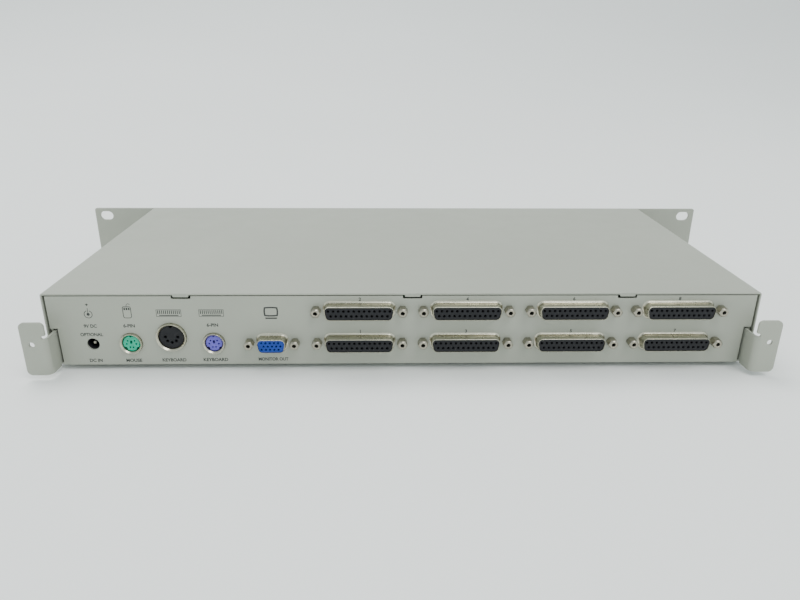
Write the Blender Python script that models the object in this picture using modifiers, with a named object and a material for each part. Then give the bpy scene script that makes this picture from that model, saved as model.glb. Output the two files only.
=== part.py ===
"""A rack-mount KVM switch for eight computers, as the separate parts it is assembled from.

Metres, +Z up. The faceplate faces -Y and the connector panel faces +Y, so +X is to the right
seen from the front. The world origin is on the table, under the middle of the whole object.

Every part hangs from one empty, which stands at the middle of the rear panel's bottom edge:
in that frame y = 0 is the rear panel's outer face, and z = 0 is the underside of the tray.
"""

import math

import bmesh
import bpy
from mathutils import Matrix, Vector

MM = 0.001

# Rack standard: one unit high, 19 inches wide.
RACK_WIDTH = 482.6 * MM
PANEL_HEIGHT = 43.7 * MM
PANEL_THICKNESS = 2.0 * MM
PANEL_CORNER = 1.5 * MM
RACK_SLOT_PITCH_X = 465.1 * MM
RACK_SLOT_PITCH_Z = 31.75 * MM
RACK_SLOT_LENGTH = 10.0 * MM
RACK_SLOT_HEIGHT = 7.0 * MM

# Sheet-metal case.
SHEET = 1.2 * MM
BEND = 1.5 * MM
COVER_SHEET = 1.0 * MM
COVER_WIDTH = 390.8 * MM
CASE_HEIGHT = 42.5 * MM
CASE_DEPTH = 190.8 * MM
COVER_SIDE_GAP = 1.0 * MM
COVER_TOP_GAP = 0.6 * MM
COVER_OVERHANG = 0.2 * MM
COVER_SIDE_BOTTOM = 1.0 * MM
COVER_TAB_WIDTH = 8.4 * MM
COVER_TAB_DROP = 1.15 * MM
COVER_TAB_GAP = 0.85 * MM
COVER_TABS_X = (-121.2 * MM, -3.8 * MM, 120.9 * MM)
PANEL_DROP = 1.4 * MM
FOOT_HEIGHT = 3.0 * MM
FOOT_RADIUS = 6.0 * MM
TOUCH = 0.3 * MM

# Rear bracket, along the sheet's outer face from its inner end to the edge of its tab.
BRACKET_FACE_X = 190.35 * MM
BRACKET_INSIDE = 30.0 * MM
BRACKET_REACH = 12.0 * MM
BRACKET_BEND = 3.5 * MM
BRACKET_TAB_EDGE_X = 203.4 * MM
BRACKET_TAB_TOP = 30.6 * MM
BRACKET_FLANGE_TOP = 20.9 * MM
BRACKET_CORNER = 3.0 * MM
BRACKET_INNER_CORNER = 2.5 * MM
BRACKET_HOLE_X = 198.15 * MM
BRACKET_HOLE_Z = 17.9 * MM
BRACKET_HOLE_RADIUS = 1.5 * MM
BRACKET_RELIEF_RADIUS = 1.1 * MM
BRACKET_GAP = 0.8 * MM

# Connectors on the rear panel: x of each, and z above the tray's underside.
PORT_PITCH = 58.42 * MM
PORT_ROW_PITCH = 19.05 * MM
FIRST_PORT_X = 25.2 * MM
LOWER_PORT_Z = 13.6 * MM
PORT_COLUMNS = 4
PORT_SCREW_PITCH = 47.04 * MM
PORT_WIDTH = 38.3 * MM
PORT_FLANGE_WIDTH = 53.0 * MM
MONITOR_X = 73.4 * MM
MONITOR_Z = 13.5 * MM
MONITOR_WIDTH = 16.3 * MM
MONITOR_SCREW_PITCH = 24.99 * MM
MONITOR_FLANGE_WIDTH = 30.8 * MM
D_HEIGHT = 7.9 * MM
D_CORNER = 2.6 * MM
D_SLANT = math.radians(10)
D_WALL = 0.5 * MM
D_PROUD = 6.0 * MM
D_FLANGE_HEIGHT = 12.4 * MM
FLANGE_THICKNESS = 0.8 * MM
JACKSCREW_FLATS = 4.8 * MM
JACKSCREW_PROUD = 5.6 * MM
JACKSCREW_STUD_RADIUS = 1.4 * MM
KEYBOARD_X = 105.4 * MM
DIN_X = 128.3 * MM
MOUSE_X = 150.5 * MM
POWER_X = 171.4 * MM
SMALL_SOCKET_Z = 13.3 * MM
DIN_Z = 17.0 * MM
POWER_Z = 12.8 * MM

# Boards.
BOARD = 1.6 * MM
BOARD_TOP = 7.3 * MM
BOARD_HALF_WIDTH = 186.0 * MM
BOARD_DEPTH = 148.0 * MM
FRONT_BOARD_SETBACK = 9.9 * MM
FRONT_BOARD_HALF_WIDTH = 165.0 * MM
FRONT_WINDOW_HALF_WIDTH = 150.0 * MM

# Front controls.
BUTTONS = 8
BUTTON_PITCH = 22.0 * MM
BUTTON_WIDTH = 12.0 * MM
BUTTON_HEIGHT = 8.0 * MM
BUTTON_PROUD = 2.2 * MM
BUTTON_LIP = 1.2 * MM
BUTTON_STEM = 3.0 * MM
BUTTON_TRAVEL = 1.5 * MM
BUTTON_SPARE = 0.4 * MM
BUTTON_Z = 17.0 * MM
BUTTON_GAP = 0.4 * MM
LIGHT_Z = 29.0 * MM
LIGHT_RADIUS = 1.5 * MM
LIGHT_HOLE_RADIUS = 1.7 * MM
LIGHT_OFFSET = 3.4 * MM
HEADER_X = -60.0 * MM

# Where the rear panel stands, so that the whole object's box is centred on the origin.
WHOLE_DEPTH = BUTTON_PROUD + PANEL_THICKNESS + CASE_DEPTH + BRACKET_REACH
REAR_PANEL_Y = WHOLE_DEPTH / 2 - BRACKET_REACH
FRONT = -CASE_DEPTH
TRAY_HALF_WIDTH = COVER_WIDTH / 2 - COVER_SHEET - COVER_SIDE_GAP
TRAY_TOP = CASE_HEIGHT - COVER_SHEET - COVER_TOP_GAP
INSIDE_REAR = -SHEET - TOUCH
HOUSING_FACE = INSIDE_REAR - FLANGE_THICKNESS - TOUCH

LOOKS = {
    "case_paint": ((0.45, 0.47, 0.43), 0.45, 0.0),
    "plated_steel": ((0.62, 0.60, 0.52), 0.3, 1.0),
    "black_plastic": ((0.02, 0.02, 0.022), 0.5, 0.0),
    "monitor_blue": ((0.03, 0.09, 0.42), 0.45, 0.0),
    "mouse_green": ((0.02, 0.38, 0.22), 0.45, 0.0),
    "keyboard_purple": ((0.16, 0.14, 0.5), 0.45, 0.0),
    "circuit_board": ((0.02, 0.16, 0.06), 0.5, 0.0),
    "cable_grey": ((0.4, 0.4, 0.4), 0.6, 0.0),
    "button_grey": ((0.25, 0.26, 0.25), 0.5, 0.0),
    "light_pipe": ((0.75, 0.8, 0.75), 0.2, 0.0),
    "foot_rubber": ((0.03, 0.03, 0.03), 0.9, 0.0),
}


def clear_scene():
    for item in list(bpy.data.objects):
        bpy.data.objects.remove(item)


def new_collection(name, parent):
    made = bpy.data.collections.new(name)
    parent.children.link(made)
    return made


def material(name):
    """The named look, made the first time that it is asked for."""
    found = bpy.data.materials.get(name)
    if found:
        return found
    colour, roughness, metallic = LOOKS[name]
    made = bpy.data.materials.new(name)
    made.use_nodes = True
    shader = made.node_tree.nodes["Principled BSDF"]
    shader.inputs["Base Color"].default_value = (*colour, 1)
    shader.inputs["Roughness"].default_value = roughness
    shader.inputs["Metallic"].default_value = metallic
    return made


def add_part(name, mesh, look, location=(0, 0, 0)):
    """A named part of the object, standing in the case's own frame."""
    part = bpy.data.objects.new(name, mesh)
    if not mesh.materials:
        mesh.materials.append(material(look))
    parts.objects.link(part)
    part.parent = case_frame
    part.location = location
    return part


def add_helper(name, mesh):
    """A shape that cuts another or is joined to it, and isn't a part itself."""
    helper = bpy.data.objects.new(name, mesh)
    helper.parent = case_frame
    helper.hide_render = True
    helper.display_type = "WIRE"
    return helper


def combine(part, operation, helpers):
    """Cuts the helpers from the part, or joins them to it, with one Boolean."""
    group = new_collection(f"{part.name}_{operation.lower()}", tools)
    for helper in helpers:
        group.objects.link(helper)
    boolean = part.modifiers.new(operation.title(), "BOOLEAN")
    boolean.operation = operation
    boolean.operand_type = "COLLECTION"
    boolean.collection = group
    boolean.solver = "EXACT"


def cut(part, helpers):
    combine(part, "DIFFERENCE", helpers)


def join(part, helpers):
    combine(part, "UNION", helpers)


def settle(part):
    """The part with its modifiers worked into its mesh, so that copies can share it."""
    bpy.context.view_layer.update()
    graph = bpy.context.evaluated_depsgraph_get()
    mesh = bpy.data.meshes.new_from_object(part.evaluated_get(graph))
    part.modifiers.clear()
    part.data = mesh
    return mesh


def finish_mesh(work, name):
    mesh = bpy.data.meshes.new(name)
    work.to_mesh(mesh)
    work.free()
    return mesh


def box(name, xs, ys, zs):
    """A box mesh between two values on each axis."""
    work = bmesh.new()
    bmesh.ops.create_cube(work, size=1)
    low, high = Vector((xs[0], ys[0], zs[0])), Vector((xs[1], ys[1], zs[1]))
    place = Matrix.LocRotScale((low + high) / 2, None, high - low)
    bmesh.ops.transform(work, matrix=place, verts=work.verts)
    return finish_mesh(work, name)


def rod(name, start, end, radius, sides, end_radius=None):
    """A round or polygonal rod between two points, which may taper. Its flats face along Z."""
    start, end = Vector(start), Vector(end)
    axis = end - start
    work = bmesh.new()
    bmesh.ops.create_cone(
        work,
        cap_ends=True,
        segments=sides,
        radius1=radius,
        radius2=radius if end_radius is None else end_radius,
        depth=axis.length,
    )
    turn = axis.to_track_quat("Z", "Y").to_matrix().to_4x4()
    spin = Matrix.Rotation(math.pi / sides, 4, "Z")
    bmesh.ops.transform(
        work, matrix=Matrix.Translation((start + end) / 2) @ turn @ spin, verts=work.verts
    )
    return finish_mesh(work, name)


def rounded(corners, radius, steps=3):
    """A closed outline with each corner turned into an arc. Radius may be one value or a list."""
    points = []
    radii = radius if isinstance(radius, (list, tuple)) else [radius] * len(corners)
    for index, (corner, arc) in enumerate(zip(corners, radii)):
        here = Vector((*corner, 0))
        back = (Vector((*corners[index - 1], 0)) - here).normalized()
        onward = (Vector((*corners[(index + 1) % len(corners)], 0)) - here).normalized()
        if arc == 0:
            points.append(here)
            continue
        half = back.angle(onward) / 2
        centre = here + (back + onward).normalized() * arc / math.sin(half)
        first = (here + back * arc / math.tan(half) - centre).normalized()
        last = (here + onward * arc / math.tan(half) - centre).normalized()
        points += [centre + arc * first.slerp(last, step / steps) for step in range(steps + 1)]
    return [(point.x, point.y) for point in points]


def rectangle(width, height, x=0.0, z=0.0):
    half, rise = width / 2, height / 2
    return [(x - half, z - rise), (x + half, z - rise), (x + half, z + rise), (x - half, z + rise)]


def circle(radius, x, z, sides):
    turns = [2 * math.pi * (step + 0.5) / sides for step in range(sides)]
    return [(x + radius * math.cos(turn), z + radius * math.sin(turn)) for turn in turns]


def d_outline(width, x, z, grow=0.0):
    """A D connector's outline, its wide side up. Grow moves the whole outline outwards."""
    half, rise = width / 2 + grow, D_HEIGHT / 2 + grow
    lean = 2 * rise * math.tan(D_SLANT)
    corners = [
        (x - half + lean, z - rise),
        (x + half - lean, z - rise),
        (x + half, z + rise),
        (x - half, z + rise),
    ]
    return rounded(corners, D_CORNER + grow)


def prism(name, outlines, y_from, y_to):
    """A plate between two values of y: its first outline, in x and z, with the others as holes."""
    curve = bpy.data.curves.new(name, "CURVE")
    curve.dimensions = "2D"
    curve.fill_mode = "BOTH"
    curve.extrude = (y_to - y_from) / 2
    for outline in outlines:
        spline = curve.splines.new("POLY")
        spline.points.add(len(outline) - 1)
        for point, (x, z) in zip(spline.points, outline):
            point.co = (x, z, 0, 1)
        spline.use_cyclic_u = True
    flat = bpy.data.objects.new(name, curve)
    mesh = bpy.data.meshes.new_from_object(flat)
    bpy.data.objects.remove(flat)
    work = bmesh.new()
    work.from_mesh(mesh)
    bmesh.ops.remove_doubles(work, verts=work.verts, dist=0.001 * MM)
    upright = Matrix.Translation((0, (y_from + y_to) / 2, 0)) @ Matrix.Rotation(math.pi / 2, 4, "X")
    bmesh.ops.transform(work, matrix=upright, verts=work.verts)
    bmesh.ops.recalc_face_normals(work, faces=work.faces)
    return finish_mesh(work, name)


def turned(name, profile, look, location, steps):
    """A ring turned about the y axis from a closed profile of (radius, y) points.

    The profile starts on its outer side at its rear end and runs forwards.
    """
    work = bmesh.new()
    points = [work.verts.new((radius, 0, y)) for radius, y in profile]
    for index, point in enumerate(points):
        work.edges.new((point, points[(index + 1) % len(points)]))
    part = add_part(name, finish_mesh(work, name), look, location)
    part.rotation_euler.x = -math.pi / 2
    screw = part.modifiers.new("Turn", "SCREW")
    screw.axis = "Z"
    screw.steps = steps
    screw.render_steps = steps
    screw.merge_threshold = 0.00001
    screw.use_merge_vertices = True
    return part


def bevel(part, width, segments):
    added = part.modifiers.new("Bevel", "BEVEL")
    added.width = width
    added.segments = segments
    added.limit_method = "ANGLE"
    return added


def thicken(part, thickness):
    """Gives an open surface its sheet thickness, inwards."""
    added = part.modifiers.new("Sheet", "SOLIDIFY")
    added.thickness = thickness
    added.offset = -1
    added.use_even_offset = True
    return added


def port_positions():
    """Column number, then x, of each pair of computer ports, from +X to -X."""
    return [(column, FIRST_PORT_X - column * PORT_PITCH) for column in range(PORT_COLUMNS)]


def port_rows():
    """Lower and upper row: its port number within a column, and its z."""
    return [(1, LOWER_PORT_Z), (2, LOWER_PORT_Z + PORT_ROW_PITCH)]


def screw_positions():
    """Name, x and z of every jackscrew on the rear panel."""
    found = []
    for column, x in port_positions():
        for row, z in port_rows():
            for side, way in (("left", -1), ("right", 1)):
                name = f"port_{2 * column + row}_jackscrew_{side}"
                found.append((name, x + way * PORT_SCREW_PITCH / 2, z))
    for side, way in (("left", -1), ("right", 1)):
        name = f"monitor_jackscrew_{side}"
        found.append((name, MONITOR_X + way * MONITOR_SCREW_PITCH / 2, MONITOR_Z))
    return found


def button_positions():
    first = -(BUTTONS - 1) / 2 * BUTTON_PITCH
    return [first + number * BUTTON_PITCH for number in range(BUTTONS)]


def cover_screw_positions():
    """Name, side and y of each screw that holds the cover to the tray."""
    places = (("front", FRONT + 40 * MM), ("rear", -40 * MM))
    sides = (("left", -1), ("right", 1))
    return [(f"cover_screw_{end}_{side}", way, y) for end, y in places for side, way in sides]


COVER_SCREW_Z = 21.0 * MM
COVER_SCREW_RADIUS = 1.45 * MM
COVER_SCREW_HEAD_RADIUS = 2.7 * MM


def open_box(name, half_width, y_from, y_to, height, open_sides):
    """A box from z = 0 up, without the faces whose outward normals are listed."""
    work = bmesh.new()
    bmesh.ops.create_cube(work, size=1)
    size = Vector((2 * half_width, y_to - y_from, height))
    middle = Vector((0, (y_from + y_to) / 2, height / 2))
    bmesh.ops.transform(work, matrix=Matrix.LocRotScale(middle, None, size), verts=work.verts)
    gone = [f for f in work.faces if any(f.normal.dot(Vector(way)) > 0.9 for way in open_sides)]
    bmesh.ops.delete(work, geom=gone, context="FACES_ONLY")
    return finish_mesh(work, name)


def make_tray():
    """Floor, side walls, front wall and connector panel, folded from one sheet."""
    mesh = open_box("tray", TRAY_HALF_WIDTH, FRONT + TOUCH, 0, TRAY_TOP, [(0, 0, 1)])
    tray = add_part("chassis_tray", mesh, "case_paint")
    bevel(tray, BEND, 2)
    thicken(tray, SHEET)
    rests = []
    for x in (-175 * MM, 0, 175 * MM):
        for y in (-135 * MM, -28 * MM):
            top = BOARD_TOP - BOARD - TOUCH
            rests.append(rod("board_rest", (x, y, SHEET / 2), (x, y, top), 2.5 * MM, 8))
    for x in (-157 * MM, 157 * MM):
        for z in (14 * MM, 30 * MM):
            wall, reach = FRONT + TOUCH + SHEET / 2, FRONT + FRONT_BOARD_SETBACK - TOUCH
            rests.append(rod("board_post", (x, wall, z), (x, reach, z), 2.5 * MM, 8))
    join(tray, [add_helper(mesh.name, mesh) for mesh in rests])
    through = (-3 * SHEET, 2 * SHEET)
    holes = []
    for _, x in port_positions():
        for _, z in port_rows():
            holes.append(prism("port_opening", [d_outline(PORT_WIDTH, x, z, 0.5 * MM)], *through))
    monitor = d_outline(MONITOR_WIDTH, MONITOR_X, MONITOR_Z, 0.5 * MM)
    holes.append(prism("monitor_opening", [monitor], *through))
    for _, x, z in screw_positions():
        holes.append(rod("screw_hole", (x, through[0], z), (x, through[1], z), 1.8 * MM, 8))
    for x, z, radius, sides in (
        (MOUSE_X, SMALL_SOCKET_Z, 6.4 * MM, 24),
        (KEYBOARD_X, SMALL_SOCKET_Z, 6.4 * MM, 24),
        (DIN_X, DIN_Z, 8.9 * MM, 28),
        (POWER_X, POWER_Z, 3.4 * MM, 20),
    ):
        holes.append(rod("socket_hole", (x, through[0], z), (x, through[1], z), radius, sides))
    for x in COVER_TABS_X:
        half = COVER_TAB_WIDTH / 2 + COVER_TAB_GAP
        drop = CASE_HEIGHT - COVER_SHEET - COVER_TAB_DROP - COVER_TAB_GAP
        holes.append(box("tab_notch", (x - half, x + half), through, (drop, TRAY_TOP + SHEET)))
    for way in (-1, 1):
        xs = sorted((way * (BRACKET_FACE_X - BRACKET_GAP), way * (TRAY_HALF_WIDTH + SHEET)))
        ys = (-SHEET - 0.15 * MM, SHEET)
        zs = (-SHEET, BRACKET_FLANGE_TOP + BRACKET_GAP)
        holes.append(box("bracket_notch", xs, ys, zs))
    window = (-FRONT_WINDOW_HALF_WIDTH, FRONT_WINDOW_HALF_WIDTH)
    holes.append(box("front_window", window, (FRONT - SHEET, FRONT + 3 * SHEET), (9 * MM, 35 * MM)))
    for name, way, y in cover_screw_positions():
        ends = [(way * (TRAY_HALF_WIDTH + over), y, COVER_SCREW_Z) for over in (-3 * SHEET, SHEET)]
        holes.append(rod(f"{name}_hole", ends[0], ends[1], 1.8 * MM, 10))
    cut(tray, [add_helper(mesh.name, mesh) for mesh in holes])


def make_cover():
    """Top and two sides, with three tabs that drop into notches in the rear panel."""
    height = CASE_HEIGHT - COVER_SIDE_BOTTOM
    open_ends = [(0, 0, -1), (0, 1, 0), (0, -1, 0)]
    mesh = open_box("cover", COVER_WIDTH / 2, FRONT + TOUCH, COVER_OVERHANG, height, open_ends)
    cover = add_part("top_cover", mesh, "case_paint", (0, 0, COVER_SIDE_BOTTOM))
    bevel(cover, BEND, 3)
    thicken(cover, COVER_SHEET)
    tabs = []
    for x in COVER_TABS_X:
        xs = (x - COVER_TAB_WIDTH / 2, x + COVER_TAB_WIDTH / 2)
        under = CASE_HEIGHT - COVER_SHEET
        zs = (under - COVER_TAB_DROP, under + COVER_SHEET / 2)
        tabs.append(box("cover_tab", xs, (COVER_OVERHANG - COVER_SHEET, COVER_OVERHANG), zs))
    join(cover, [add_helper(mesh.name, mesh) for mesh in tabs])
    holes = []
    clearance = 0.15 * MM
    for name, way, y in cover_screw_positions():
        inner = (way * (COVER_WIDTH / 2 - COVER_SHEET - 0.1 * MM), y, COVER_SCREW_Z)
        outer = (way * (COVER_WIDTH / 2 + 0.1 * MM), y, COVER_SCREW_Z)
        small, large = COVER_SCREW_RADIUS + 2 * clearance, COVER_SCREW_HEAD_RADIUS + 2 * clearance
        holes.append(rod(f"{name}_sink", inner, outer, small, 14, large))
    cut(cover, [add_helper(mesh.name, mesh) for mesh in holes])


def make_faceplate():
    """The rack faceplate, with its slots, button windows and holes for the lights."""
    middle_z = PANEL_HEIGHT / 2 - PANEL_DROP
    outline = rounded(rectangle(RACK_WIDTH, PANEL_HEIGHT, 0, middle_z), PANEL_CORNER, 2)
    holes = []
    for x in (-RACK_SLOT_PITCH_X / 2, RACK_SLOT_PITCH_X / 2):
        for z in (middle_z - RACK_SLOT_PITCH_Z / 2, middle_z + RACK_SLOT_PITCH_Z / 2):
            slot = rectangle(RACK_SLOT_LENGTH, RACK_SLOT_HEIGHT, x, z)
            holes.append(rounded(slot, 0.499 * RACK_SLOT_HEIGHT, 4))
    for x in button_positions():
        width, height = BUTTON_WIDTH + 2 * BUTTON_GAP, BUTTON_HEIGHT + 2 * BUTTON_GAP
        holes.append(rounded(rectangle(width, height, x, BUTTON_Z), 0.8 * MM, 1))
        for way in (-1, 1):
            holes.append(circle(LIGHT_HOLE_RADIUS, x + way * LIGHT_OFFSET, LIGHT_Z, 8))
    mesh = prism("faceplate", [outline, *holes], FRONT - PANEL_THICKNESS, FRONT)
    add_part("rack_faceplate", mesh, "case_paint")


def split_at(work, axis, value):
    """Cuts the faces of a mesh along a plane across one axis, and keeps both sides."""
    geometry = work.verts[:] + work.edges[:] + work.faces[:]
    place, normal = Vector(), Vector()
    place[axis], normal[axis] = value, 1
    bmesh.ops.bisect_plane(work, geom=geometry, plane_co=place, plane_no=normal, dist=0.001 * MM)


def bracket_outline():
    """The bracket's flat blank: length along the sheet from its inner end, and z.

    The tab's upper part reaches back past the bend, above a relief cut, and isn't bent.
    """
    step = BRACKET_INSIDE + 0.5 * MM
    bend_start = BRACKET_INSIDE + BRACKET_REACH - BRACKET_BEND
    bend_end = bend_start + BRACKET_BEND * math.pi / 2
    tab_end = bend_end + BRACKET_TAB_EDGE_X - BRACKET_FACE_X - BRACKET_BEND
    tab_start = bend_end - BRACKET_BEND
    inside_bottom = SHEET + 0.4 * MM
    relief_x = tab_start + BRACKET_RELIEF_RADIUS
    relief_z = BRACKET_FLANGE_TOP + BRACKET_RELIEF_RADIUS
    corners = [(0, inside_bottom), (step, inside_bottom), (step, 0), (tab_end, 0)]
    corners += [(tab_end, BRACKET_TAB_TOP), (tab_start, BRACKET_TAB_TOP)]
    corners.append((tab_start, relief_z + BRACKET_RELIEF_RADIUS))
    radii = [0, 0, 0, BRACKET_CORNER, BRACKET_CORNER, BRACKET_INNER_CORNER, BRACKET_RELIEF_RADIUS / 2]
    for step_number in range(7):
        turn = math.pi * (0.5 - step_number / 6)
        x = relief_x + BRACKET_RELIEF_RADIUS * math.cos(turn)
        corners.append((x, relief_z + BRACKET_RELIEF_RADIUS * math.sin(turn)))
        radii.append(0)
    corners.append((0, BRACKET_FLANGE_TOP))
    radii.append(0)
    hole_x = bend_end + BRACKET_HOLE_X - BRACKET_FACE_X - BRACKET_BEND
    hole = circle(BRACKET_HOLE_RADIUS, hole_x, BRACKET_HOLE_Z, 12)
    return rounded(corners, radii), hole, bend_start, bend_end


def fold(length, z, bend_start, bend_end):
    """Where a point of the blank stands once the bracket is bent, in x and y."""
    flat = Vector((BRACKET_FACE_X + BRACKET_BEND + length - bend_end, BRACKET_REACH))
    if length >= bend_end:
        return flat
    if length <= bend_start:
        return Vector((BRACKET_FACE_X, length - BRACKET_INSIDE))
    turn = (length - bend_start) / BRACKET_BEND
    x = BRACKET_FACE_X + BRACKET_BEND * (1 - math.cos(turn))
    bent = Vector((x, BRACKET_REACH - BRACKET_BEND * (1 - math.sin(turn))))
    above = (z - BRACKET_FLANGE_TOP) / (2 * BRACKET_RELIEF_RADIUS)
    return bent.lerp(flat, min(max(above, 0), 1))


def make_brackets():
    """A bracket at each rear corner: a flange inside the side wall, and a tab bent outwards."""
    outline, hole, bend_start, bend_end = bracket_outline()
    work = bmesh.new()
    edges = []
    for loop in (outline, hole):
        points = [work.verts.new((length, 0, z)) for length, z in loop]
        for index, point in enumerate(points):
            edges.append(work.edges.new((point, points[(index + 1) % len(points)])))
    bmesh.ops.triangle_fill(work, use_beauty=True, use_dissolve=False, edges=edges)
    bends = 5
    for number in range(bends + 1):
        split_at(work, 0, bend_start + (bend_end - bend_start) * number / bends)
    for number in range(3):
        split_at(work, 2, BRACKET_FLANGE_TOP + number * BRACKET_RELIEF_RADIUS)
    for vert in work.verts:
        x, y = fold(vert.co.x, vert.co.z, bend_start, bend_end)
        vert.co = (x, y, vert.co.z)
    bmesh.ops.triangulate(work, faces=work.faces)
    tab_face = max(work.faces, key=lambda face: face.calc_center_median().x)
    if tab_face.normal.y < 0:
        bmesh.ops.reverse_faces(work, faces=work.faces)
    left = finish_mesh(work, "bracket")
    for side, way in (("left", -1), ("right", 1)):
        mesh = left.copy()
        if way < 0:
            mesh.transform(Matrix.Scale(-1, 4, (1, 0, 0)))
            mesh.flip_normals()
        thicken(add_part(f"rear_bracket_{side}", mesh, "case_paint"), SHEET)


def make_jackscrews():
    """Hexagonal jackscrews, each with the threaded hole that takes a cable's screw."""
    radius = JACKSCREW_FLATS / 2 / math.cos(math.pi / 6)
    seat = 0.2 * MM
    body = rod("jackscrew", (0, seat, 0), (0, JACKSCREW_PROUD, 0), radius, 6)
    screw = add_part("jackscrew", body, "plated_steel")
    stud_end = INSIDE_REAR - FLANGE_THICKNESS
    stud = rod("stud", (0, stud_end, 0), (0, 2 * seat, 0), JACKSCREW_STUD_RADIUS, 8)
    join(screw, [add_helper("stud", stud)])
    deep = JACKSCREW_PROUD - 4 * MM
    hole = rod("thread", (0, deep, 0), (0, JACKSCREW_PROUD + MM, 0), 1.25 * MM, 8)
    cut(screw, [add_helper("thread", hole)])
    mesh = settle(screw)
    bpy.data.objects.remove(screw)
    for name, x, z in screw_positions():
        add_part(name, mesh, "plated_steel", (x, 0, z))


def d_shell(name, flange, collars, screws):
    """A stamped shell: a flange behind the rear panel, with a D collar for each connector."""
    plate = prism(name, [flange], INSIDE_REAR - FLANGE_THICKNESS, INSIDE_REAR)
    shell = add_part(name, plate, "plated_steel")
    base = INSIDE_REAR - FLANGE_THICKNESS / 2
    outer = [prism("collar", [d_outline(w, x, z)], base, D_PROUD) for w, x, z in collars]
    join(shell, [add_helper("collar", mesh) for mesh in outer])
    bores = [
        prism("bore", [d_outline(w, x, z, -D_WALL)], INSIDE_REAR - 2 * MM, D_PROUD + MM)
        for w, x, z in collars
    ]
    for x, z in screws:
        ends = ((x, INSIDE_REAR - 2 * MM, z), (x, INSIDE_REAR + MM, z))
        bores.append(rod("screw_hole", *ends, 1.8 * MM, 8))
    cut(shell, [add_helper("bore", mesh) for mesh in bores])


def d_insert(name, xs, zs, depth, noses, look):
    """The moulded block behind a shell, with a nose that fills each D collar."""
    block = box(name, xs, (HOUSING_FACE - depth, HOUSING_FACE), zs)
    insert = add_part(name, block, look)
    face = D_PROUD - 0.3 * MM
    shapes = [
        prism("nose", [d_outline(w, x, z, -D_WALL - 0.15 * MM)], HOUSING_FACE - MM, face)
        for w, x, z in noses
    ]
    join(insert, [add_helper("nose", mesh) for mesh in shapes])


def make_ports():
    """Each column holds two stacked 25-way ports in one shield and one housing."""
    upper_z = LOWER_PORT_Z + PORT_ROW_PITCH
    bottom, top = BOARD_TOP + TOUCH, upper_z + D_FLANGE_HEIGHT / 2
    for column, x in port_positions():
        numbers = f"{2 * column + 1}_{2 * column + 2}"
        flange = rectangle(PORT_FLANGE_WIDTH, top - bottom, x, (top + bottom) / 2)
        collars = [(PORT_WIDTH, x, z) for _, z in port_rows()]
        sides = (-PORT_SCREW_PITCH / 2, PORT_SCREW_PITCH / 2)
        screws = [(x + side, z) for _, z in port_rows() for side in sides]
        d_shell(f"port_shield_{numbers}", flange, collars, screws)
        half = PORT_WIDTH / 2 + MM
        d_insert(
            f"port_housing_{numbers}", (x - half, x + half), (bottom, top), 14 * MM, collars,
            "black_plastic",
        )


def make_monitor_port():
    bottom, top = BOARD_TOP + TOUCH, MONITOR_Z + D_FLANGE_HEIGHT / 2
    flange = rectangle(MONITOR_FLANGE_WIDTH, top - bottom, MONITOR_X, (top + bottom) / 2)
    collar = (MONITOR_WIDTH, MONITOR_X, MONITOR_Z)
    sides = (-MONITOR_SCREW_PITCH / 2, MONITOR_SCREW_PITCH / 2)
    screws = [(MONITOR_X + side, MONITOR_Z) for side in sides]
    d_shell("monitor_port_shell", flange, [collar], screws)
    half = MONITOR_WIDTH / 2 + MM
    xs = (MONITOR_X - half, MONITOR_X + half)
    d_insert("monitor_port_insert", xs, (bottom, top), 11 * MM, [collar], "monitor_blue")


def make_round_sockets():
    """Mouse, keyboard and five-pin sockets: a plated shell round a moulded insert."""
    small = {"outer": 6.0 * MM, "bore": 4.8 * MM, "nose": 3.9 * MM, "half": 7.0 * MM}
    small |= {"proud": 1.5 * MM, "recess": 0.8 * MM, "sides": 24}
    large = {"outer": 8.5 * MM, "bore": 6.8 * MM, "nose": 5.9 * MM, "half": 9.0 * MM}
    large |= {"proud": 1.4 * MM, "recess": 2.2 * MM, "sides": 28}
    for name, x, z, size, look in (
        ("mouse_socket", MOUSE_X, SMALL_SOCKET_Z, small, "mouse_green"),
        ("keyboard_socket", KEYBOARD_X, SMALL_SOCKET_Z, small, "keyboard_purple"),
        ("din_socket", DIN_X, DIN_Z, large, "black_plastic"),
    ):
        back, lip = -6 * MM, 0.4 * MM
        profile = [
            (size["outer"] - lip, size["proud"]),
            (size["outer"], size["proud"] - lip),
            (size["outer"], back),
            (size["bore"], back),
            (size["bore"], size["proud"] - lip),
            (size["bore"] + lip, size["proud"]),
        ]
        turned(f"{name}_shell", profile, "plated_steel", (x, 0, z), size["sides"])
        face = back - TOUCH
        zs = (BOARD_TOP + TOUCH, z + size["half"])
        block = box(name, (x - size["half"], x + size["half"]), (face - 10 * MM, face), zs)
        insert = add_part(f"{name}_insert", block, look)
        nose_face = size["proud"] - size["recess"]
        ends = ((x, face - MM, z), (x, nose_face, z))
        nose = rod("nose", *ends, size["nose"], size["sides"])
        join(insert, [add_helper("nose", nose)])


def make_power_socket():
    """The low-voltage power jack: a block with a bore, and a contact pin on its axis."""
    x, z = POWER_X, POWER_Z
    back = INSIDE_REAR - 13.5 * MM
    xs, zs = (x - 4.5 * MM, x + 4.5 * MM), (BOARD_TOP + TOUCH, z + 5.2 * MM)
    jack = add_part("power_jack", box("power_jack", xs, (back, INSIDE_REAR), zs), "black_plastic")
    floor = INSIDE_REAR - 9.5 * MM
    bore = rod("bore", (x, floor, z), (x, MM, z), 3.1 * MM, 18)
    cut(jack, [add_helper("bore", bore)])
    pin = rod("pin", (x, floor - MM, z), (x, INSIDE_REAR - 0.5 * MM, z), 1.0 * MM, 10)
    join(jack, [add_helper("pin", pin)])


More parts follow.
